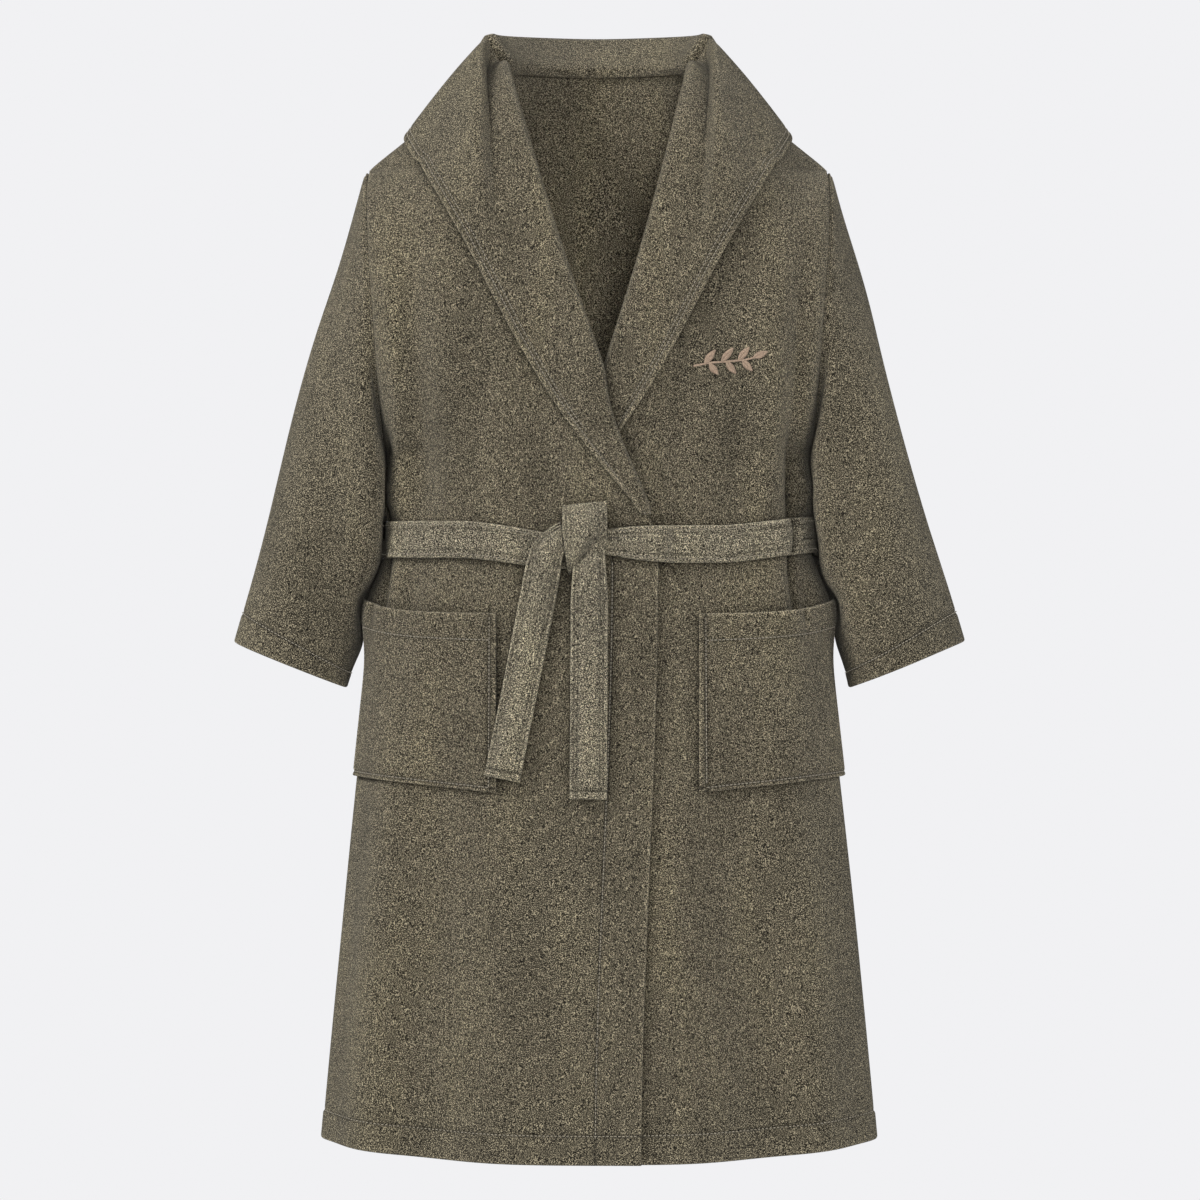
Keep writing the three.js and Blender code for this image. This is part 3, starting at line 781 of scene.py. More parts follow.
def fall_profile(angle):
    """One row of the collar round the back neck: stand up from the seam, over the fold, down the fall."""
    across = math.sin(angle)
    seam_x = NECK_HALF * across
    seam_z = min(NECK_RISE, float(shoulder_line(seam_x)))
    neck = bare_skin(turn_of(seam_x, seam_z), seam_z, BACK)
    rows = []
    for s in np.linspace(1, 0.12, LEGS):
        z = seam_z - 0.3 * LEG * s
        rows.append(skin(turn_of(seam_x, z), z, -3 * MM, BACK))
    seam_top = neck + np.array([0, 0, 1.2 * MM])
    for k in range(ARC):
        rows.append(mix(rows[LEGS - 1], seam_top, (k + 1) / (ARC + 1)))
    start = min(0.0, float(shoulder_line(FOLD_X * across)))
    low = mix(-FALL_DEPTH, float(shoulder_line(FALL_X)), abs(across) ** 3)
    length = start - low + ROLL_RISE

    def fall_low(v):
        x = mix(FOLD_X, FALL_X, v) * across
        z = mix(start, low, v)
        offset = COLLAR_OFFSET + STAND_OFF * (1 - v) * math.cos(angle)
        flat = skin(turn_of(x, z), min(z, float(shoulder_line(x))), offset, BACK)
        ridge = np.array([x, 0, float(shoulder_line(x)) + offset])
        away = float(smooth(math.cos(angle), 0, 0.22))
        return mix(ridge, flat, away)

    lift = ROLL_RISE + BACK_RISE * math.cos(angle) - fall_low(0.0)[2]

    def fall_point(v):
        return fall_low(v) + np.array([0, 0, lift * (1 - v) ** 1.4])

    top = fall_point(0.0)
    for q in np.linspace(0, 1, STAND):
        bow = 2.5 * MM * math.sin(math.pi * q)
        inward = unit(np.array([neck[0], neck[1], 0]) + 1e-9)
        crown = np.array([0, 0, 3 * MM * math.sin(math.pi * q)])
        rows.append(mix(seam_top, top, q**0.85) + inward * bow + crown)
    for v in mix(0, 1 - EDGE_STEPS[0] / length, np.linspace(0, 1, FALL + 2)[1:-1] ** 1.25):
        rows.append(fall_point(v))
    for step in EDGE_STEPS:
        rows.append(fall_point(1 - step / length))
    return np.array(rows)


def soften(grid, times):
    """Averages each row with its neighbours along the collar, to round off where fronts and back meet."""
    for _ in range(times):
        grid[:, 1:-1] = 0.25 * grid[:, :-2] + 0.5 * grid[:, 1:-1] + 0.25 * grid[:, 2:]
    return grid


def shawl_collar():
    downs = np.linspace(0, 1, 100)[1:] ** 1.25
    right = [lapel_profile(d, RIGHT) for d in downs[::-1]]
    angles = np.linspace(-math.pi / 2, math.pi / 2, 74)
    back = [fall_profile(a) for a in angles]
    left = [lapel_profile(d, LEFT) for d in downs[downs < LEFT_END]]
    grid = np.stack(right + back + left, 1)
    grid = soften(grid, 3)
    across = lengths(grid, 0)
    from_edge = across[-1:] - across
    groove = groove_at(from_edge - EDGE_STITCH, 1.5 * MM, 1.3 * MM)
    groove = groove + groove_at(from_edge - 2 * EDGE_STITCH + 2 * MM, 1.2 * MM, 1.2 * MM)
    groove[: LEGS + ARC + STAND] = 0
    return cloth_sheet("shawl_collar", grid, TERRY, COLLAR_THICK, groove), grid


# ---- sleeves ----

CUFF_STITCH = 28 * MM
SLEEVE_LENGTH = 440 * MM
ARMHOLE_GAP = 1 * MM
SLEEVE_SIDES = 72
CUFF_WIDTH = 134 * MM
CUFF_HALF_DEPTH = 46 * MM
CUFF_Z = UNDERARM_Z - 257 * MM
CUFF_SLANT = math.radians(22)
SLEEVE_LEAN = 34 * MM


def sleeve_point(turn, v, depth_in, side):
    """turn 0 is the top of the shoulder, 180 degrees the underarm. v runs from the armhole to the cuff."""
    radius = (SHOULDER_Z - UNDERARM_Z) / 2 - depth_in
    top_z = (SHOULDER_Z + UNDERARM_Z) / 2 + radius * np.cos(turn)
    start = np.stack([
        half_width(top_z) + CLOTH + ARMHOLE_GAP,
        (ARMHOLE_HALF_DEPTH + CLOTH - depth_in) * np.sin(turn), top_z], -1)
    inner = np.array([float(half_width(np.array(CUFF_Z))) + CLOTH + 20 * MM, CUFF_Z])
    outer = inner + CUFF_WIDTH * np.array([math.cos(CUFF_SLANT), math.sin(CUFF_SLANT)])
    share = 0.5 + 0.5 * np.cos(turn) * (1 - 2 * depth_in / CUFF_WIDTH)
    end = np.stack([
        mix(inner[0], outer[0], share),
        (CUFF_HALF_DEPTH - depth_in) * np.sin(turn),
        mix(inner[1], outer[1], share)], -1)
    point = start + (end - start) * v[..., None]
    point[..., 0] *= side
    return point


def sleeve_folds(turn, v, side):
    """Long soft folds hang from the shoulder, with shorter ones gathered on the inner side of the arm."""
    hang = np.sin(2 * turn + 5.5 * v + side) + 0.6 * np.sin(3 * turn - 7 * v + 2 * side)
    inner = np.exp(-((np.cos(turn) + 1) / 0.55) ** 2)
    gathers = np.sin(24 * v + 3 * np.sin(turn) + side) * inner * np.exp(-(((v - 0.3) / 0.22) ** 2))
    lean = SLEEVE_LEAN * inner * np.sin(math.pi * np.clip(v, 0, 1) ** 0.7) ** 1.5
    return (3.0 * MM * hang * smooth(v, 0.06, 0.35) * (1 - 0.4 * smooth(v, 0.75, 1))
            + 2.6 * MM * gathers + lean)


def sleeve_surface(turn, v, depth_in, side):
    base = sleeve_point(turn, v, depth_in, side)
    step = 0.01
    around = sleeve_point(turn + step, v, depth_in, side) - sleeve_point(turn - step, v, depth_in, side)
    down = sleeve_point(turn, v + step, depth_in, side) - sleeve_point(turn, v - step, depth_in, side)
    normal = unit(np.cross(down, around)) * side
    return base + normal * sleeve_folds(turn, v, side)[..., None], normal


SLEEVE_REST = 6 * MM  # from the middle of the sleeve's cloth to whatever the inner wall lies against
REACH = 200 * MM
PROBE = 5 * MM  # rays beside each point catch a strap narrower than the grid


def surface_of(obj):
    mesh = obj.data
    return BVHTree.FromPolygons([v.co for v in mesh.vertices], [p.vertices for p in mesh.polygons])


def rest_beside(points, v, robe, side):
    """Moves the inner wall outward until it lies beside the robe. The contact runs out softly all round."""
    need = np.zeros(points.shape[:2])
    probes = [(0, 0), (PROBE, 0), (-PROBE, 0), (0, PROBE), (0, -PROBE)]
    inward = Vector((-side, 0, 0))
    for spot in np.ndindex(need.shape):
        x, y, z = points[spot] + ORIGIN
        for dy, dz in probes:
            start = Vector((x + side * REACH, y + dy, z + dz))
            for surface in robe:
                hit = surface.ray_cast(start, inward, REACH + SLEEVE_REST)[0]
                if hit is not None:
                    need[spot] = max(need[spot], side * (hit.x - x) + SLEEVE_REST)
    room = need
    for _ in range(8):
        near = (np.roll(room, 1, 0) + np.roll(room, -1, 0)) / 4
        down = np.pad(room, ((0, 0), (1, 1)), mode="edge")
        room = np.maximum(need, near + (down[:, :-2] + down[:, 2:]) / 4)
    points = points.copy()
    points[..., 0] += side * room * smooth(v, 0, 0.03)
    return points


def sleeve(name, side, robe):
    down = spaced(SLEEVE_LENGTH, 8 * MM, [SLEEVE_LENGTH - CUFF_STITCH]) / SLEEVE_LENGTH
    t, v = np.meshgrid(round_turns(SLEEVE_SIDES), down, indexing="ij")
    to_cuff = (1 - v) * SLEEVE_LENGTH
    points, _ = sleeve_surface(t, v, CLOTH / 2, side)
    points = rest_beside(points, v, robe, side)
    groove = groove_at(to_cuff - CUFF_STITCH)
    thick = CLOTH + turned_in(to_cuff, CUFF_STITCH)
    return cloth_sheet(name, points, TERRY, thick, groove, flip=side == RIGHT, wrap=True)


def cuff_hem(name, side):
    down = np.linspace(1 - CUFF_STITCH / SLEEVE_LENGTH, 0.997, 7)
    t, v = np.meshgrid(round_turns(SLEEVE_SIDES), down, indexing="ij")
    points, _ = sleeve_surface(t, v, CLOTH + GAP + 1.3 * MM, side)
    return cloth_sheet(name, points, TERRY, STRIP, flip=side == RIGHT, wrap=True)


def armhole_seam(name, side):
    """The raised seam where the sleeve is sewn to the body."""
    turn = round_turns(96)
    ring = []
    for a in round_turns(8):
        p = sleeve_point(turn, 0 * turn, CLOTH / 2 - 0.6 * MM * math.sin(a) - 0.8 * MM, side)
        p[:, 0] += side * (-0.9 * MM + 1.6 * MM * math.cos(a))
        out = unit(p - np.array([side * SHOULDER_HALF, 0, (SHOULDER_Z + UNDERARM_Z) / 2]))
        ring.append(p + out * 1.5 * MM * math.sin(a))
    grid = np.stack(ring, 1)
    n, m = grid.shape[:2]
    index = np.arange(n * m).reshape(n, m)
    a, b = index, np.roll(index, -1, 0)
    c, d = np.roll(b, -1, 1), np.roll(a, -1, 1)
    quads = np.stack([a, b, c, d], -1).reshape(-1, 4)
    if side == RIGHT:
        quads = quads[:, ::-1]
    return link(name, grid.reshape(-1, 3) + ORIGIN, quads.tolist(), TERRY)


# ---- belt ----

KNOT_X = -14 * MM
BELT_THICK = 6.5 * MM
KNOT_WIDTH = 44 * MM
RIDGES = np.array([4.5, 8.5]) * MM


def belt_lift(x, z):
    off = smooth(x, WRAP + CLOTH, WRAP + CLOTH + 12 * MM)
    return overlap_lift(x, z) * (1 - off)


def belt_rows(half):
    """Positions across the belt from top to bottom, with lines at each ridge."""
    line = spaced(2 * half, 3 * MM)
    extra = [r + d for r in RIDGES for d in (-1.2 * MM, 0, 1.2 * MM)]
    line = np.concatenate([line, extra, 2 * half - np.array(extra)])
    return np.unique(np.round(line, 5))


def ridge_groove(from_top, width):
    depth = 0 * from_top
    for r in RIDGES:
        depth = depth + groove_at(from_top - r, 0.8 * MM, 0.9 * MM)
        depth = depth + groove_at(width - from_top - r, 0.8 * MM, 0.9 * MM)
    return depth


def belt_centre(x, front):
    if not front:
        return WAIST_Z
    left_part = mix(WAIST_Z, WAIST_Z - 15 * MM, smooth(x, -150 * MM, KNOT_X))
    right_part = mix(WAIST_Z + 6 * MM, WAIST_Z - 5 * MM, smooth(x, 240 * MM, 120 * MM))
    return np.where(x < KNOT_X, left_part, mix(right_part, WAIST_Z - 3 * MM, smooth(x, 80 * MM, 0)))


def belt_half(x, front):
    if not front:
        return BELT_WIDTH / 2
    near = bump(x, KNOT_X, 45 * MM)
    return BELT_WIDTH / 2 - np.where(x < KNOT_X, 3 * MM, 8 * MM) * near


def belt_row(round_angle, rows, height):
    """Points across the belt at one place round the body, height above the belt's inner face."""
    front = not math.pi / 2 < round_angle < 1.5 * math.pi
    face = FRONT if front else BACK
    turn = math.pi - round_angle
    if front:
        turn = round_angle - 2 * math.pi if round_angle > math.pi else round_angle
    x = float(bare_skin(np.array(turn), np.array(WAIST_Z), face)[0])
    z = belt_centre(x, front) + (1 - 2 * rows) * belt_half(x, front)
    lift = belt_lift(x, z) if front else 0
    cup = 1.5 * MM * np.sin(math.pi * rows) + 1.2 * MM * np.sin(6 * round_angle) * np.sin(3 * rows)
    off = CLOTH + GAP + lift + 1.2 * MM + cup + height
    return skin(turn_of(x, z) if front else turn, z, off, face)


def belt():
    start = float(turn_of(KNOT_X + 14 * MM, WAIST_Z))
    end = float(turn_of(KNOT_X - 14 * MM, WAIST_Z))
    rounds = np.linspace(start, 2 * math.pi + end, 300)
    rows = belt_rows(BELT_WIDTH / 2) / BELT_WIDTH
    grid = np.array([belt_row(r, rows, BELT_THICK / 2) for r in rounds])
    across = rows[None] * BELT_WIDTH + 0 * rounds[:, None]
    return cloth_sheet("belt_band", grid, TERRY_BELT, BELT_THICK, ridge_groove(across, BELT_WIDTH))


def front_surface(x, z, offset):
    """A place on whichever front lies outermost, offset from the lifted outer front."""
    x, z = np.broadcast_arrays(np.asarray(x, float), np.asarray(z, float))
    return skin(turn_of(x, z), z, offset + OVER_LIFT, FRONT)


def knot():
    """The belt's end wrapped over itself: a band from behind the top edge to a tip at the lower left."""
    rows = []
    top_z, low_z = WAIST_Z + 39 * MM, WAIST_Z - 31 * MM
    width = belt_rows(KNOT_WIDTH / 2) / KNOT_WIDTH
    downs = np.linspace(0, 1, 52)
    for v in downs:
        z = mix(top_z, low_z, v)
        arch = math.sin(math.pi * (0.03 + 0.94 * v)) ** 0.5
        left = mix(-37 * MM, -30 * MM, v * v)
        right = mix(9 * MM, -22 * MM, max(0, (v - 0.45) / 0.55) ** 1.1)
        x = mix(left, right, width)
        edge = 1 - np.abs(2 * width - 1) ** 3
        crease = 1.3 * MM * np.sin(9 * width + 5 * v) * math.sin(math.pi * v)
        off = CLOTH + 3 * MM + 21 * MM * arch * (0.62 + 0.38 * edge) + crease * edge
        slope = (width - 0.5) * mix(5 * MM, 16 * MM, v)
        rows.append(front_surface(x, z + slope, off))
    grid = np.array(rows).transpose(1, 0, 2)
    across = width[:, None] * KNOT_WIDTH + 0 * downs[None]
    return cloth_sheet("knot_wrap", grid, TERRY_BELT, 5.5 * MM, ridge_groove(across, KNOT_WIDTH))


def knot_core():
    """The turns of belt inside the knot, seen in the hollow at its side."""
    rings = []
    for v in np.linspace(-1, 1, 15):
        size = math.sqrt(max(0.02, 1 - v * v))
        a = round_turns(24)
        x = KNOT_X + 3 * MM + 21 * MM * size * np.cos(a)
        off = CLOTH + 11 * MM + 6.5 * MM * size * np.sin(a)
        rings.append(front_surface(x, WAIST_Z + 2 * MM - 26 * MM * v, off))
    grid = np.array(rings)
    n, m = grid.shape[:2]
    index = np.arange(n * m).reshape(n, m)
    a, b = index[:-1], index[1:]
    quads = np.stack([a, np.roll(a, -1, 1), np.roll(b, -1, 1), b], -1).reshape(-1, 4).tolist()
    quads += [index[0][::-1].tolist(), index[-1].tolist()]
    return link("knot_core", grid.reshape(-1, 3) + ORIGIN, quads, TERRY_BELT)


TAIL_WIDTH = 38.5 * MM
TAIL_OFFSET = CLOTH + 10.8 * MM
TAIL_SEAM = 9 * MM


def tail(name, start, headings, bend, length, width):
    """A hanging end of the belt, from start (x, z). headings are its lean at the knot and lower down."""
    down = spaced(length, 5 * MM, [length - TAIL_SEAM])
    cross = belt_rows(TAIL_WIDTH / 2) / TAIL_WIDTH
    steps = np.concatenate([[0], np.diff(down)])
    lean = mix(headings[0], headings[1], smooth(down, 0, bend) ** 0.7)
    mid_x = start[0] - np.cumsum(steps * np.sin(lean))
    mid_z = start[1] - np.cumsum(steps * np.cos(lean))
    side = (cross[:, None] - 0.5) * width * (1 - 0.16 * (1 - smooth(down, 0, 60 * MM)))[None]
    x = mid_x[None] + side * np.cos(lean)
    z = mid_z[None] - side * np.sin(lean)
    arch = 7 * MM * np.sin(math.pi * np.clip(down / (70 * MM), 0, 1))
    rise = arch - 3 * MM * (1 - smooth(down, 0, 30 * MM))
    curl = 1.8 * MM * np.cos(2 * math.pi * (cross[:, None] - 0.5))
    ripple = 2.2 * MM * np.sin(down[None] / (34 * MM) + 2 * cross[:, None] + 30 * headings[1])
    grid = front_surface(x, z, TAIL_OFFSET + rise[None] + curl + ripple)
    across = cross[:, None] * TAIL_WIDTH + 0 * down[None]
    seam = groove_at(length - down - TAIL_SEAM, 1.3 * MM, 1.3 * MM)[None]
    ridged = smooth(length - down, TAIL_SEAM, TAIL_SEAM + 3 * MM)[None]
    groove = ridge_groove(across, TAIL_WIDTH) * ridged + seam
    return cloth_sheet(name, grid, TERRY_BELT, 6 * MM, groove)


def belt_loop(name, side):
    """A thread-sewn strap over the belt at the side seam."""
    half = BELT_WIDTH / 2 + 16 * MM
    height = np.linspace(half, -half, 61)
    bow = 1 - smooth(np.abs(height), BELT_WIDTH / 2 + 2.5 * MM, BELT_WIDTH / 2 + 9 * MM)
    x = half_width(WAIST_Z + height) + CLOTH + GAP + 1.2 * MM + bow * 9.6 * MM
    across = np.array([-6, -5.6, -5, -3.6, -2, 0, 2, 3.6, 5, 5.6, 6]) * MM
    points = np.stack([
        side * x[None] + 0 * across[:, None],
        across[:, None] + 0 * x[None],
        WAIST_Z + height[None] + 0 * across[:, None]], -1)
    groove = groove_at(np.abs(across) - 3.6 * MM, 0.5 * MM, 0.8 * MM)[:, None] + 0 * x[None]
    return cloth_sheet(name, points, TERRY_STRAP, 2.4 * MM, groove, flip=side == RIGHT)


# ---- pockets ----

POCKET_X = 106 * MM
POCKET_DEPTH = 190 * MM
POCKET_TOP = BELT_BOTTOM - 58 * MM
POCKET_TILT = 0.1
POCKET_GAPE = 15 * MM
POCKET_HEM = 29 * MM
POCKET_WIDTH = 165 * MM
POCKET_STITCH = 5 * MM
POCKET_SIDE = math.radians(82)


def pocket_point(u, down, offset, side):
    """u from the middle to the side seam, down from the mouth. The mouth sags and stands off the front."""
    open_share = np.clip(1 - down / POCKET_DEPTH, 0, 1) ** 2
    sag = np.sin(math.pi * u) * open_share
    level = POCKET_TOP - down - 7 * MM * sag
    turn = mix(turn_of(POCKET_X + 0 * level, level), POCKET_SIDE, u)
    z = level + POCKET_TILT * (np.abs(bare_skin(turn, level, FRONT)[..., 0]) - POCKET_X)
    x = np.abs(bare_skin(turn, z, FRONT)[..., 0])
    lift = overlap_lift(-x, z) if side == RIGHT else 0
    slouch = 2.2 * MM * np.sin(2.3 * math.pi * u + side) * np.sin(math.pi * u)
    slouch = slouch * smooth(down, 10 * MM, 70 * MM)
    off = lift + CLOTH + GAP + POCKET_GAPE * sag + offset + slouch * open_share
    return skin(side * turn, z, off, FRONT)


def pocket(name, side):
    down = spaced(POCKET_DEPTH, 6 * MM, [POCKET_HEM, POCKET_DEPTH - POCKET_STITCH])
    edge = np.array([0, 0.4, 1, 2, 3.3, 4.2, 5, 5.8, 7, 9]) * MM / POCKET_WIDTH
    u = np.unique(np.concatenate([edge, np.linspace(0.06, 0.94, 40), 1 - edge]))
    uu, dd = np.meshgrid(u, down, indexing="ij")
    from_side = np.minimum(uu, 1 - uu) * POCKET_WIDTH
    points = pocket_point(uu, dd, 2.2 * MM + CLOTH / 2, side)
    groove = np.maximum(groove_at(from_side - POCKET_STITCH), groove_at(POCKET_DEPTH - dd - POCKET_STITCH))
    groove = np.maximum(groove, groove_at(dd - POCKET_HEM, 0.9 * MM))
    thick = CLOTH + 1.4 * MM * (1 - smooth(dd, POCKET_HEM - 2 * MM, POCKET_HEM + 2 * MM))
    return cloth_sheet(name, points, TERRY, thick, groove, flip=side == RIGHT)


def pocket_hem(name, side):
    uu, dd = np.meshgrid(np.linspace(0.05, 0.95, 34), np.linspace(1 * MM, POCKET_HEM, 7), indexing="ij")
    return cloth_sheet(name, pocket_point(uu, dd, 0.6 * MM, side), TERRY, 1.8 * MM, flip=side == RIGHT)


# ---- hang loop and embroidery ----


def hang_loop():
    half, span = 44 * MM, 38 * MM
    x = np.linspace(-half, half, 71)
    across = np.array([-4.5, -4.1, -3.4, -2, 0, 2, 3.4, 4.1, 4.5]) * MM
    bow = 1 - smooth(np.abs(x), span - 18 * MM, span)
    z = -16 * MM + across[:, None] + 0 * x[None]
    off = CLOTH + GAP + 1.2 * MM + 9 * MM * bow[None] + 0 * z
    points = skin(turn_of(x[None] + 0 * z, z), z, off, BACK)
    return cloth_sheet("hang_loop_tape", points, TERRY_STRAP, 2.3 * MM)


SPRIG_X, SPRIG_Z = 139 * MM, -319 * MM


def satin_leaf(start, tip, width):
    """Threads laid side by side across a leaf, as runs on the front of the robe."""
    start, tip = np.array(start), np.array(tip)
    length = np.linalg.norm(tip - start)
    ahead = (tip - start) / length
    aside = np.array([-ahead[1], ahead[0]])
    runs = []
    count = int(length / (0.75 * MM))
    for k in range(count):
        v = (k + 0.5) / count
        half = width / 2 * math.sin(math.pi * v**0.8) + 0.3 * MM
        middle = start + (tip - start) * v
        for s in (-1, 1):
            a, b = middle, middle + s * half * aside + 1.6 * MM * ahead
            steps = np.linspace(0, 1, 4)[:, None]
            flat = a + (b - a) * steps
            height = CLOTH + 0.5 * MM + 1.0 * MM * np.sin(np.linspace(0.35, 0.85, 4) * math.pi)
            turn = turn_of(SPRIG_X + flat[:, 0], SPRIG_Z + flat[:, 1])
            runs.append(skin(turn, SPRIG_Z + flat[:, 1], height, FRONT))
    return runs


def sprig():
    """A leaf sprig in satin stitch: a curved stem with leaves in pairs."""
    runs = []
    stem = [(-38, -5), (-20, -1.5), (0, 0), (18, 2), (34, 6)]
    leaves = [(-27, -3, -16, 11), (-22, -2, -13, -13), (-9, -0.5, 3, 13), (-4, 0, 6, -12),
              (9, 1, 20, 14), (13, 1.5, 23, -9), (24, 3.5, 38, 10)]
    for x0, z0, x1, z1 in leaves:
        runs += satin_leaf((x0 * MM, z0 * MM), (x1 * MM, z1 * MM), 6.5 * MM)
    stem = np.array(stem) * MM
    s = np.linspace(0, 1, 40)
    place = np.linspace(0, 1, len(stem))
    flat = np.stack([np.interp(s, place, stem[:, 0]), np.interp(s, place, stem[:, 1])], -1)
    turn = turn_of(SPRIG_X + flat[:, 0], SPRIG_Z + flat[:, 1])
    for across in (-0.6 * MM, 0, 0.6 * MM):
        runs.append(skin(turn, SPRIG_Z + flat[:, 1] + across, CLOTH + 0.9 * MM, FRONT))
    verts, faces = [], []
    for run in runs:
        add_thread(verts, faces, run, 0.55 * MM)
    return link("leaf_sprig", np.array(verts) + ORIGIN, faces, EMBROIDERY)


def add_thread(verts, faces, run, radius):
    """A five-sided thread along a run of points, with closed ends."""
    ahead = unit(np.gradient(run, axis=0))
    out = np.array([0.0, -1.0, 0.0])
    aside = unit(np.cross(ahead, out))
    up = unit(np.cross(aside, ahead))
    start = len(verts)
    for p, s, u in zip(run, aside, up):
        for j in range(5):
            a = 2 * math.pi * j / 5
            verts.append(p + radius * (math.cos(a) * s + math.sin(a) * u))
    for i in range(len(run) - 1):
        for j in range(5):
            a, b = start + 5 * i + j, start + 5 * i + (j + 1) % 5
            faces.append((a, b, b + 5, a + 5))
    faces.append(tuple(start + j for j in reversed(range(5))))
    faces.append(tuple(start + 5 * (len(run) - 1) + j for j in range(5)))


# ---- runs of stitching ----


def run_from(points):
    """A stitch run along points, with the directions they face, away from the middle of the body."""
    ahead = unit(np.gradient(points, axis=0))
    out = unit(points * np.array([1, 1, 0]) + 1e-9)
    normal = unit(out - ahead * np.sum(out * ahead, -1, keepdims=True))
    return points, normal


def front_runs(side):
    z = np.linspace(BELT_BOTTOM - 4 * MM, HEM_Z + 3 * MM, 150)
    turn = turn_of(panel_edge(z, side) + FACING_STITCH, z)
    runs = [run_from(on_front(turn, z, CLOTH - 0.9 * MM, side))]
    first = turn_of(roll_line(np.array(HEM_Z), side), np.array(HEM_Z))
    turn = np.linspace(first + 0.01, SEAM_TURN, 150)
    level = HEM_Z + HEM_STITCH + 0 * turn
    runs.append(run_from(on_front(turn, level, CLOTH - 0.7 * MM, side)))
    return runs


def back_runs():
    turn = np.linspace(-SEAM_TURN, SEAM_TURN, 200)
    return [run_from(skin(turn, HEM_Z + HEM_STITCH + 0 * turn, CLOTH - 0.7 * MM, BACK))]


def collar_runs(grid):
    """Two lines along the collar's outer edge, lying in its grooves."""
    across = lengths(grid, 0)
    normal = grid_normals(grid)
    runs = []
    for distance in (EDGE_STITCH, 2 * EDGE_STITCH - 2 * MM):
        points, normals = [], []
        for k in range(grid.shape[1]):
            at = across[-1, k] - distance
            point = np.array([np.interp(at, across[:, k], grid[:, k, i]) for i in range(3)])
            face = unit(np.array([np.interp(at, across[:, k], normal[:, k, i]) for i in range(3)]))
            points.append(point + face * (COLLAR_THICK / 2 - 1.0 * MM))
            normals.append(face)
        runs.append((np.array(points), np.array(normals)))
    return runs


def pocket_runs(side):
    high = 2.2 * MM + CLOTH - 0.8 * MM
    u = np.linspace(0.03, 0.97, 60)
    down = np.linspace(4 * MM, POCKET_DEPTH - POCKET_STITCH, 70)
    edge = POCKET_STITCH / POCKET_WIDTH
    runs = [
        run_from(pocket_point(u, POCKET_HEM + 0 * u, high + 0.7 * MM, side)),
        run_from(pocket_point(edge + 0 * down, down, high, side)),
        run_from(pocket_point(1 - edge + 0 * down, down, high, side)),
        run_from(pocket_point(u, POCKET_DEPTH - POCKET_STITCH + 0 * u, high, side))]
    for corner in (2 * edge, 1 - 2 * edge):
        bar = np.linspace(3 * MM, POCKET_HEM, 14)
        runs.append(run_from(pocket_point(corner + 0 * bar, bar, high + 0.9 * MM, side)))
    return runs


def cuff_runs(side):
    turn = np.linspace(0, 2 * math.pi, 140)
    down = 1 - CUFF_STITCH / SLEEVE_LENGTH + 0 * turn
    points, normals = sleeve_surface(turn, down, 0.1 * MM, side)
    return [(points + normals * 0.5 * MM, normals)]


def belt_runs():
    runs = []
    start = float(turn_of(KNOT_X + 24 * MM, WAIST_Z))
    end = float(turn_of(KNOT_X - 24 * MM, WAIST_Z))
    for share in (0.1, 0.9):
        points = []
        for r in np.linspace(start, 2 * math.pi + end, 220):
            points.append(belt_row(r, np.array([share]), BELT_THICK - 0.9 * MM)[0])
        runs.append(run_from(np.array(points)))
    return runs


# ---- assembly ----


def piece(obj, replaces=(), body="robe"):
    if body:
        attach(obj, body)
    if replaces:
        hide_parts(*replaces)
    return obj


def at(x, y, z):
    return tuple(ORIGIN + np.array([x, y, z]))


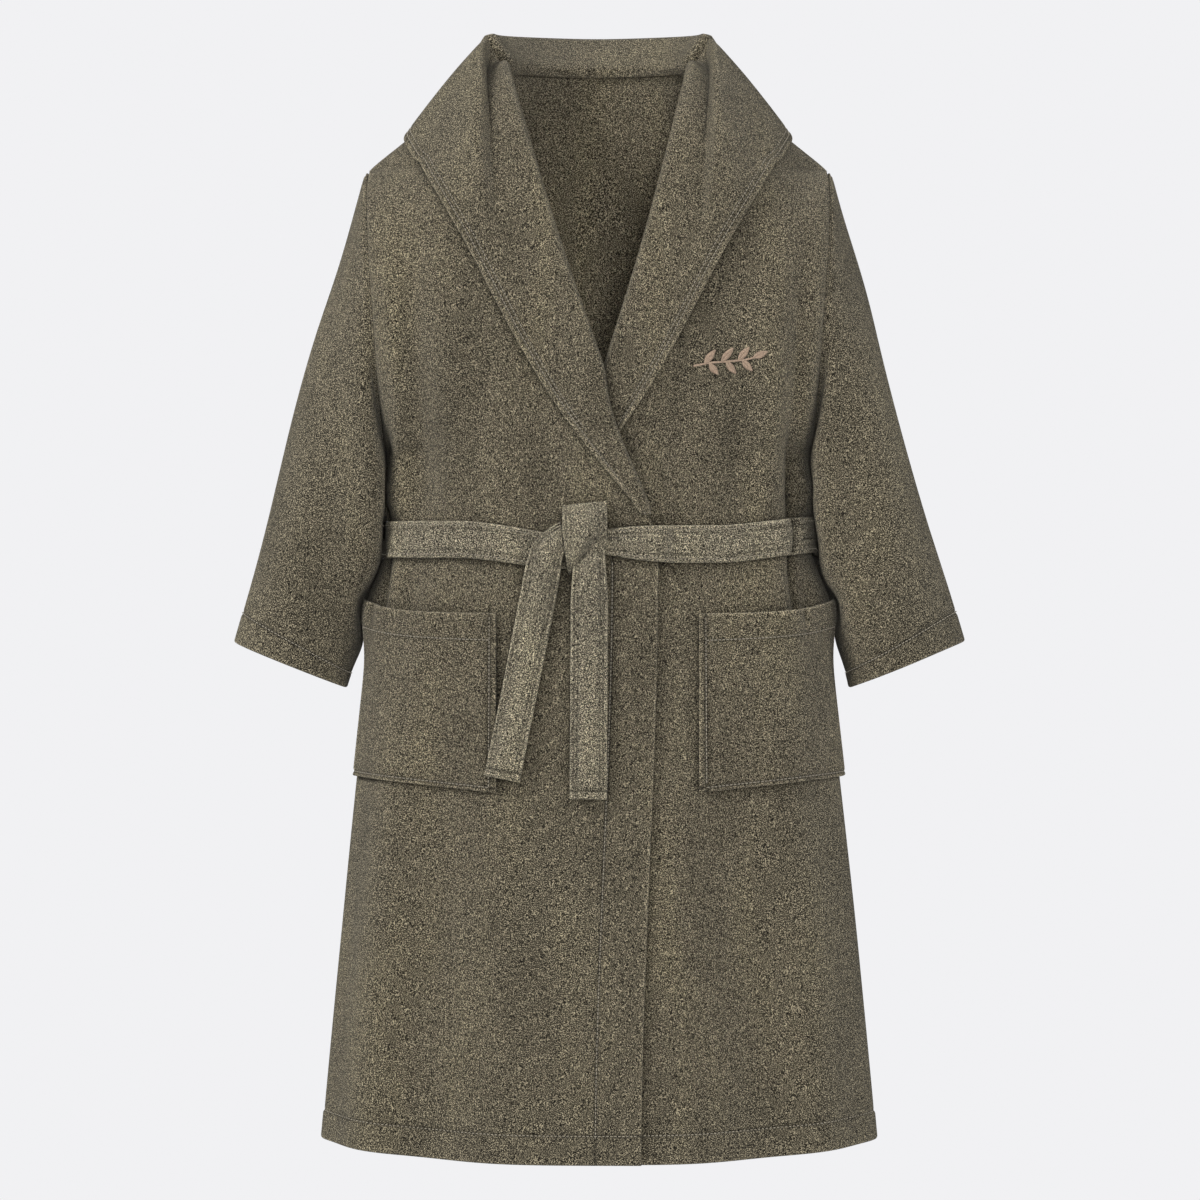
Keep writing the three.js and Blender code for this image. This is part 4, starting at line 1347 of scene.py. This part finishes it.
loop = piece(hang_loop(), ["hang_loop"])
back = piece(back_panel(), ["back_panel"])
hem = piece(turned_hem("back_hem_fold", BACK), ["back_hem"])

collar, collar_grid = shawl_collar()
piece(collar, ["collar_stand", "collar_fall", "right_lapel", "left_lapel"])

beside = {"right": [back], "left": [back]}
fronts = {}
for word, side in SIDES:
    front = fronts[word] = piece(front_panel(f"{word}_front_cloth", side), [f"{word}_front"])
    strip = piece(facing(f"{word}_facing_strip", side), [f"{word}_facing"])
    hem = piece(turned_hem(f"{word}_front_hem_fold", FRONT, side), [f"{word}_front_hem"])

    patch = piece(pocket(f"{word}_pocket_cloth", side), [f"{word}_pocket"])
    strip = piece(pocket_hem(f"{word}_pocket_hem_fold", side), [f"{word}_pocket_hem"])
    strap = piece(belt_loop(f"{word}_belt_strap", side), [f"{word}_belt_loop"])
    beside[word] += [front, patch, strip, strap]

band = piece(belt(), ["belt"])

for word, side in SIDES:
    robe = [surface_of(obj) for obj in beside[word] + [band]]
    arm = piece(sleeve(f"{word}_sleeve_cloth", side, robe), [f"{word}_sleeve"], body=None)
    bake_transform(arm)
    piece(armhole_seam(f"{word}_armhole_seam", side))
    cuff = cuff_hem(f"{word}_cuff_hem_fold", side)
    piece(cuff, [f"{word}_cuff_hem"], body=f"{word}_sleeve")

wrap = piece(knot(), ["belt_knot"])
core = piece(knot_core())
leaning = tail("right_belt_end", (-33 * MM, -503 * MM), (1.15, 0.19), 48 * MM, 272 * MM, 37 * MM)
straight = tail("left_belt_end", (-9 * MM, -520 * MM), (0.0, 0.005), 40 * MM, 263 * MM, 39 * MM)
for word, end in (("right", leaning), ("left", straight)):
    piece(end, [f"{word}_belt_tail"], body=None)
    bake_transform(end)
piece(sprig(), ["chest_embroidery"])
sewn = back_runs() + collar_runs(collar_grid) + belt_runs()
for word, side in SIDES:
    sewn += front_runs(side) + pocket_runs(side)
    cuff_line = stitches(f"{word}_cuff_stitches", cuff_runs(side))
    piece(cuff_line, body=f"{word}_sleeve")
piece(stitches("robe_stitches", sewn))

make_camera()
make_stage()
make_light()
bpy.context.scene.view_settings.view_transform = "Standard"
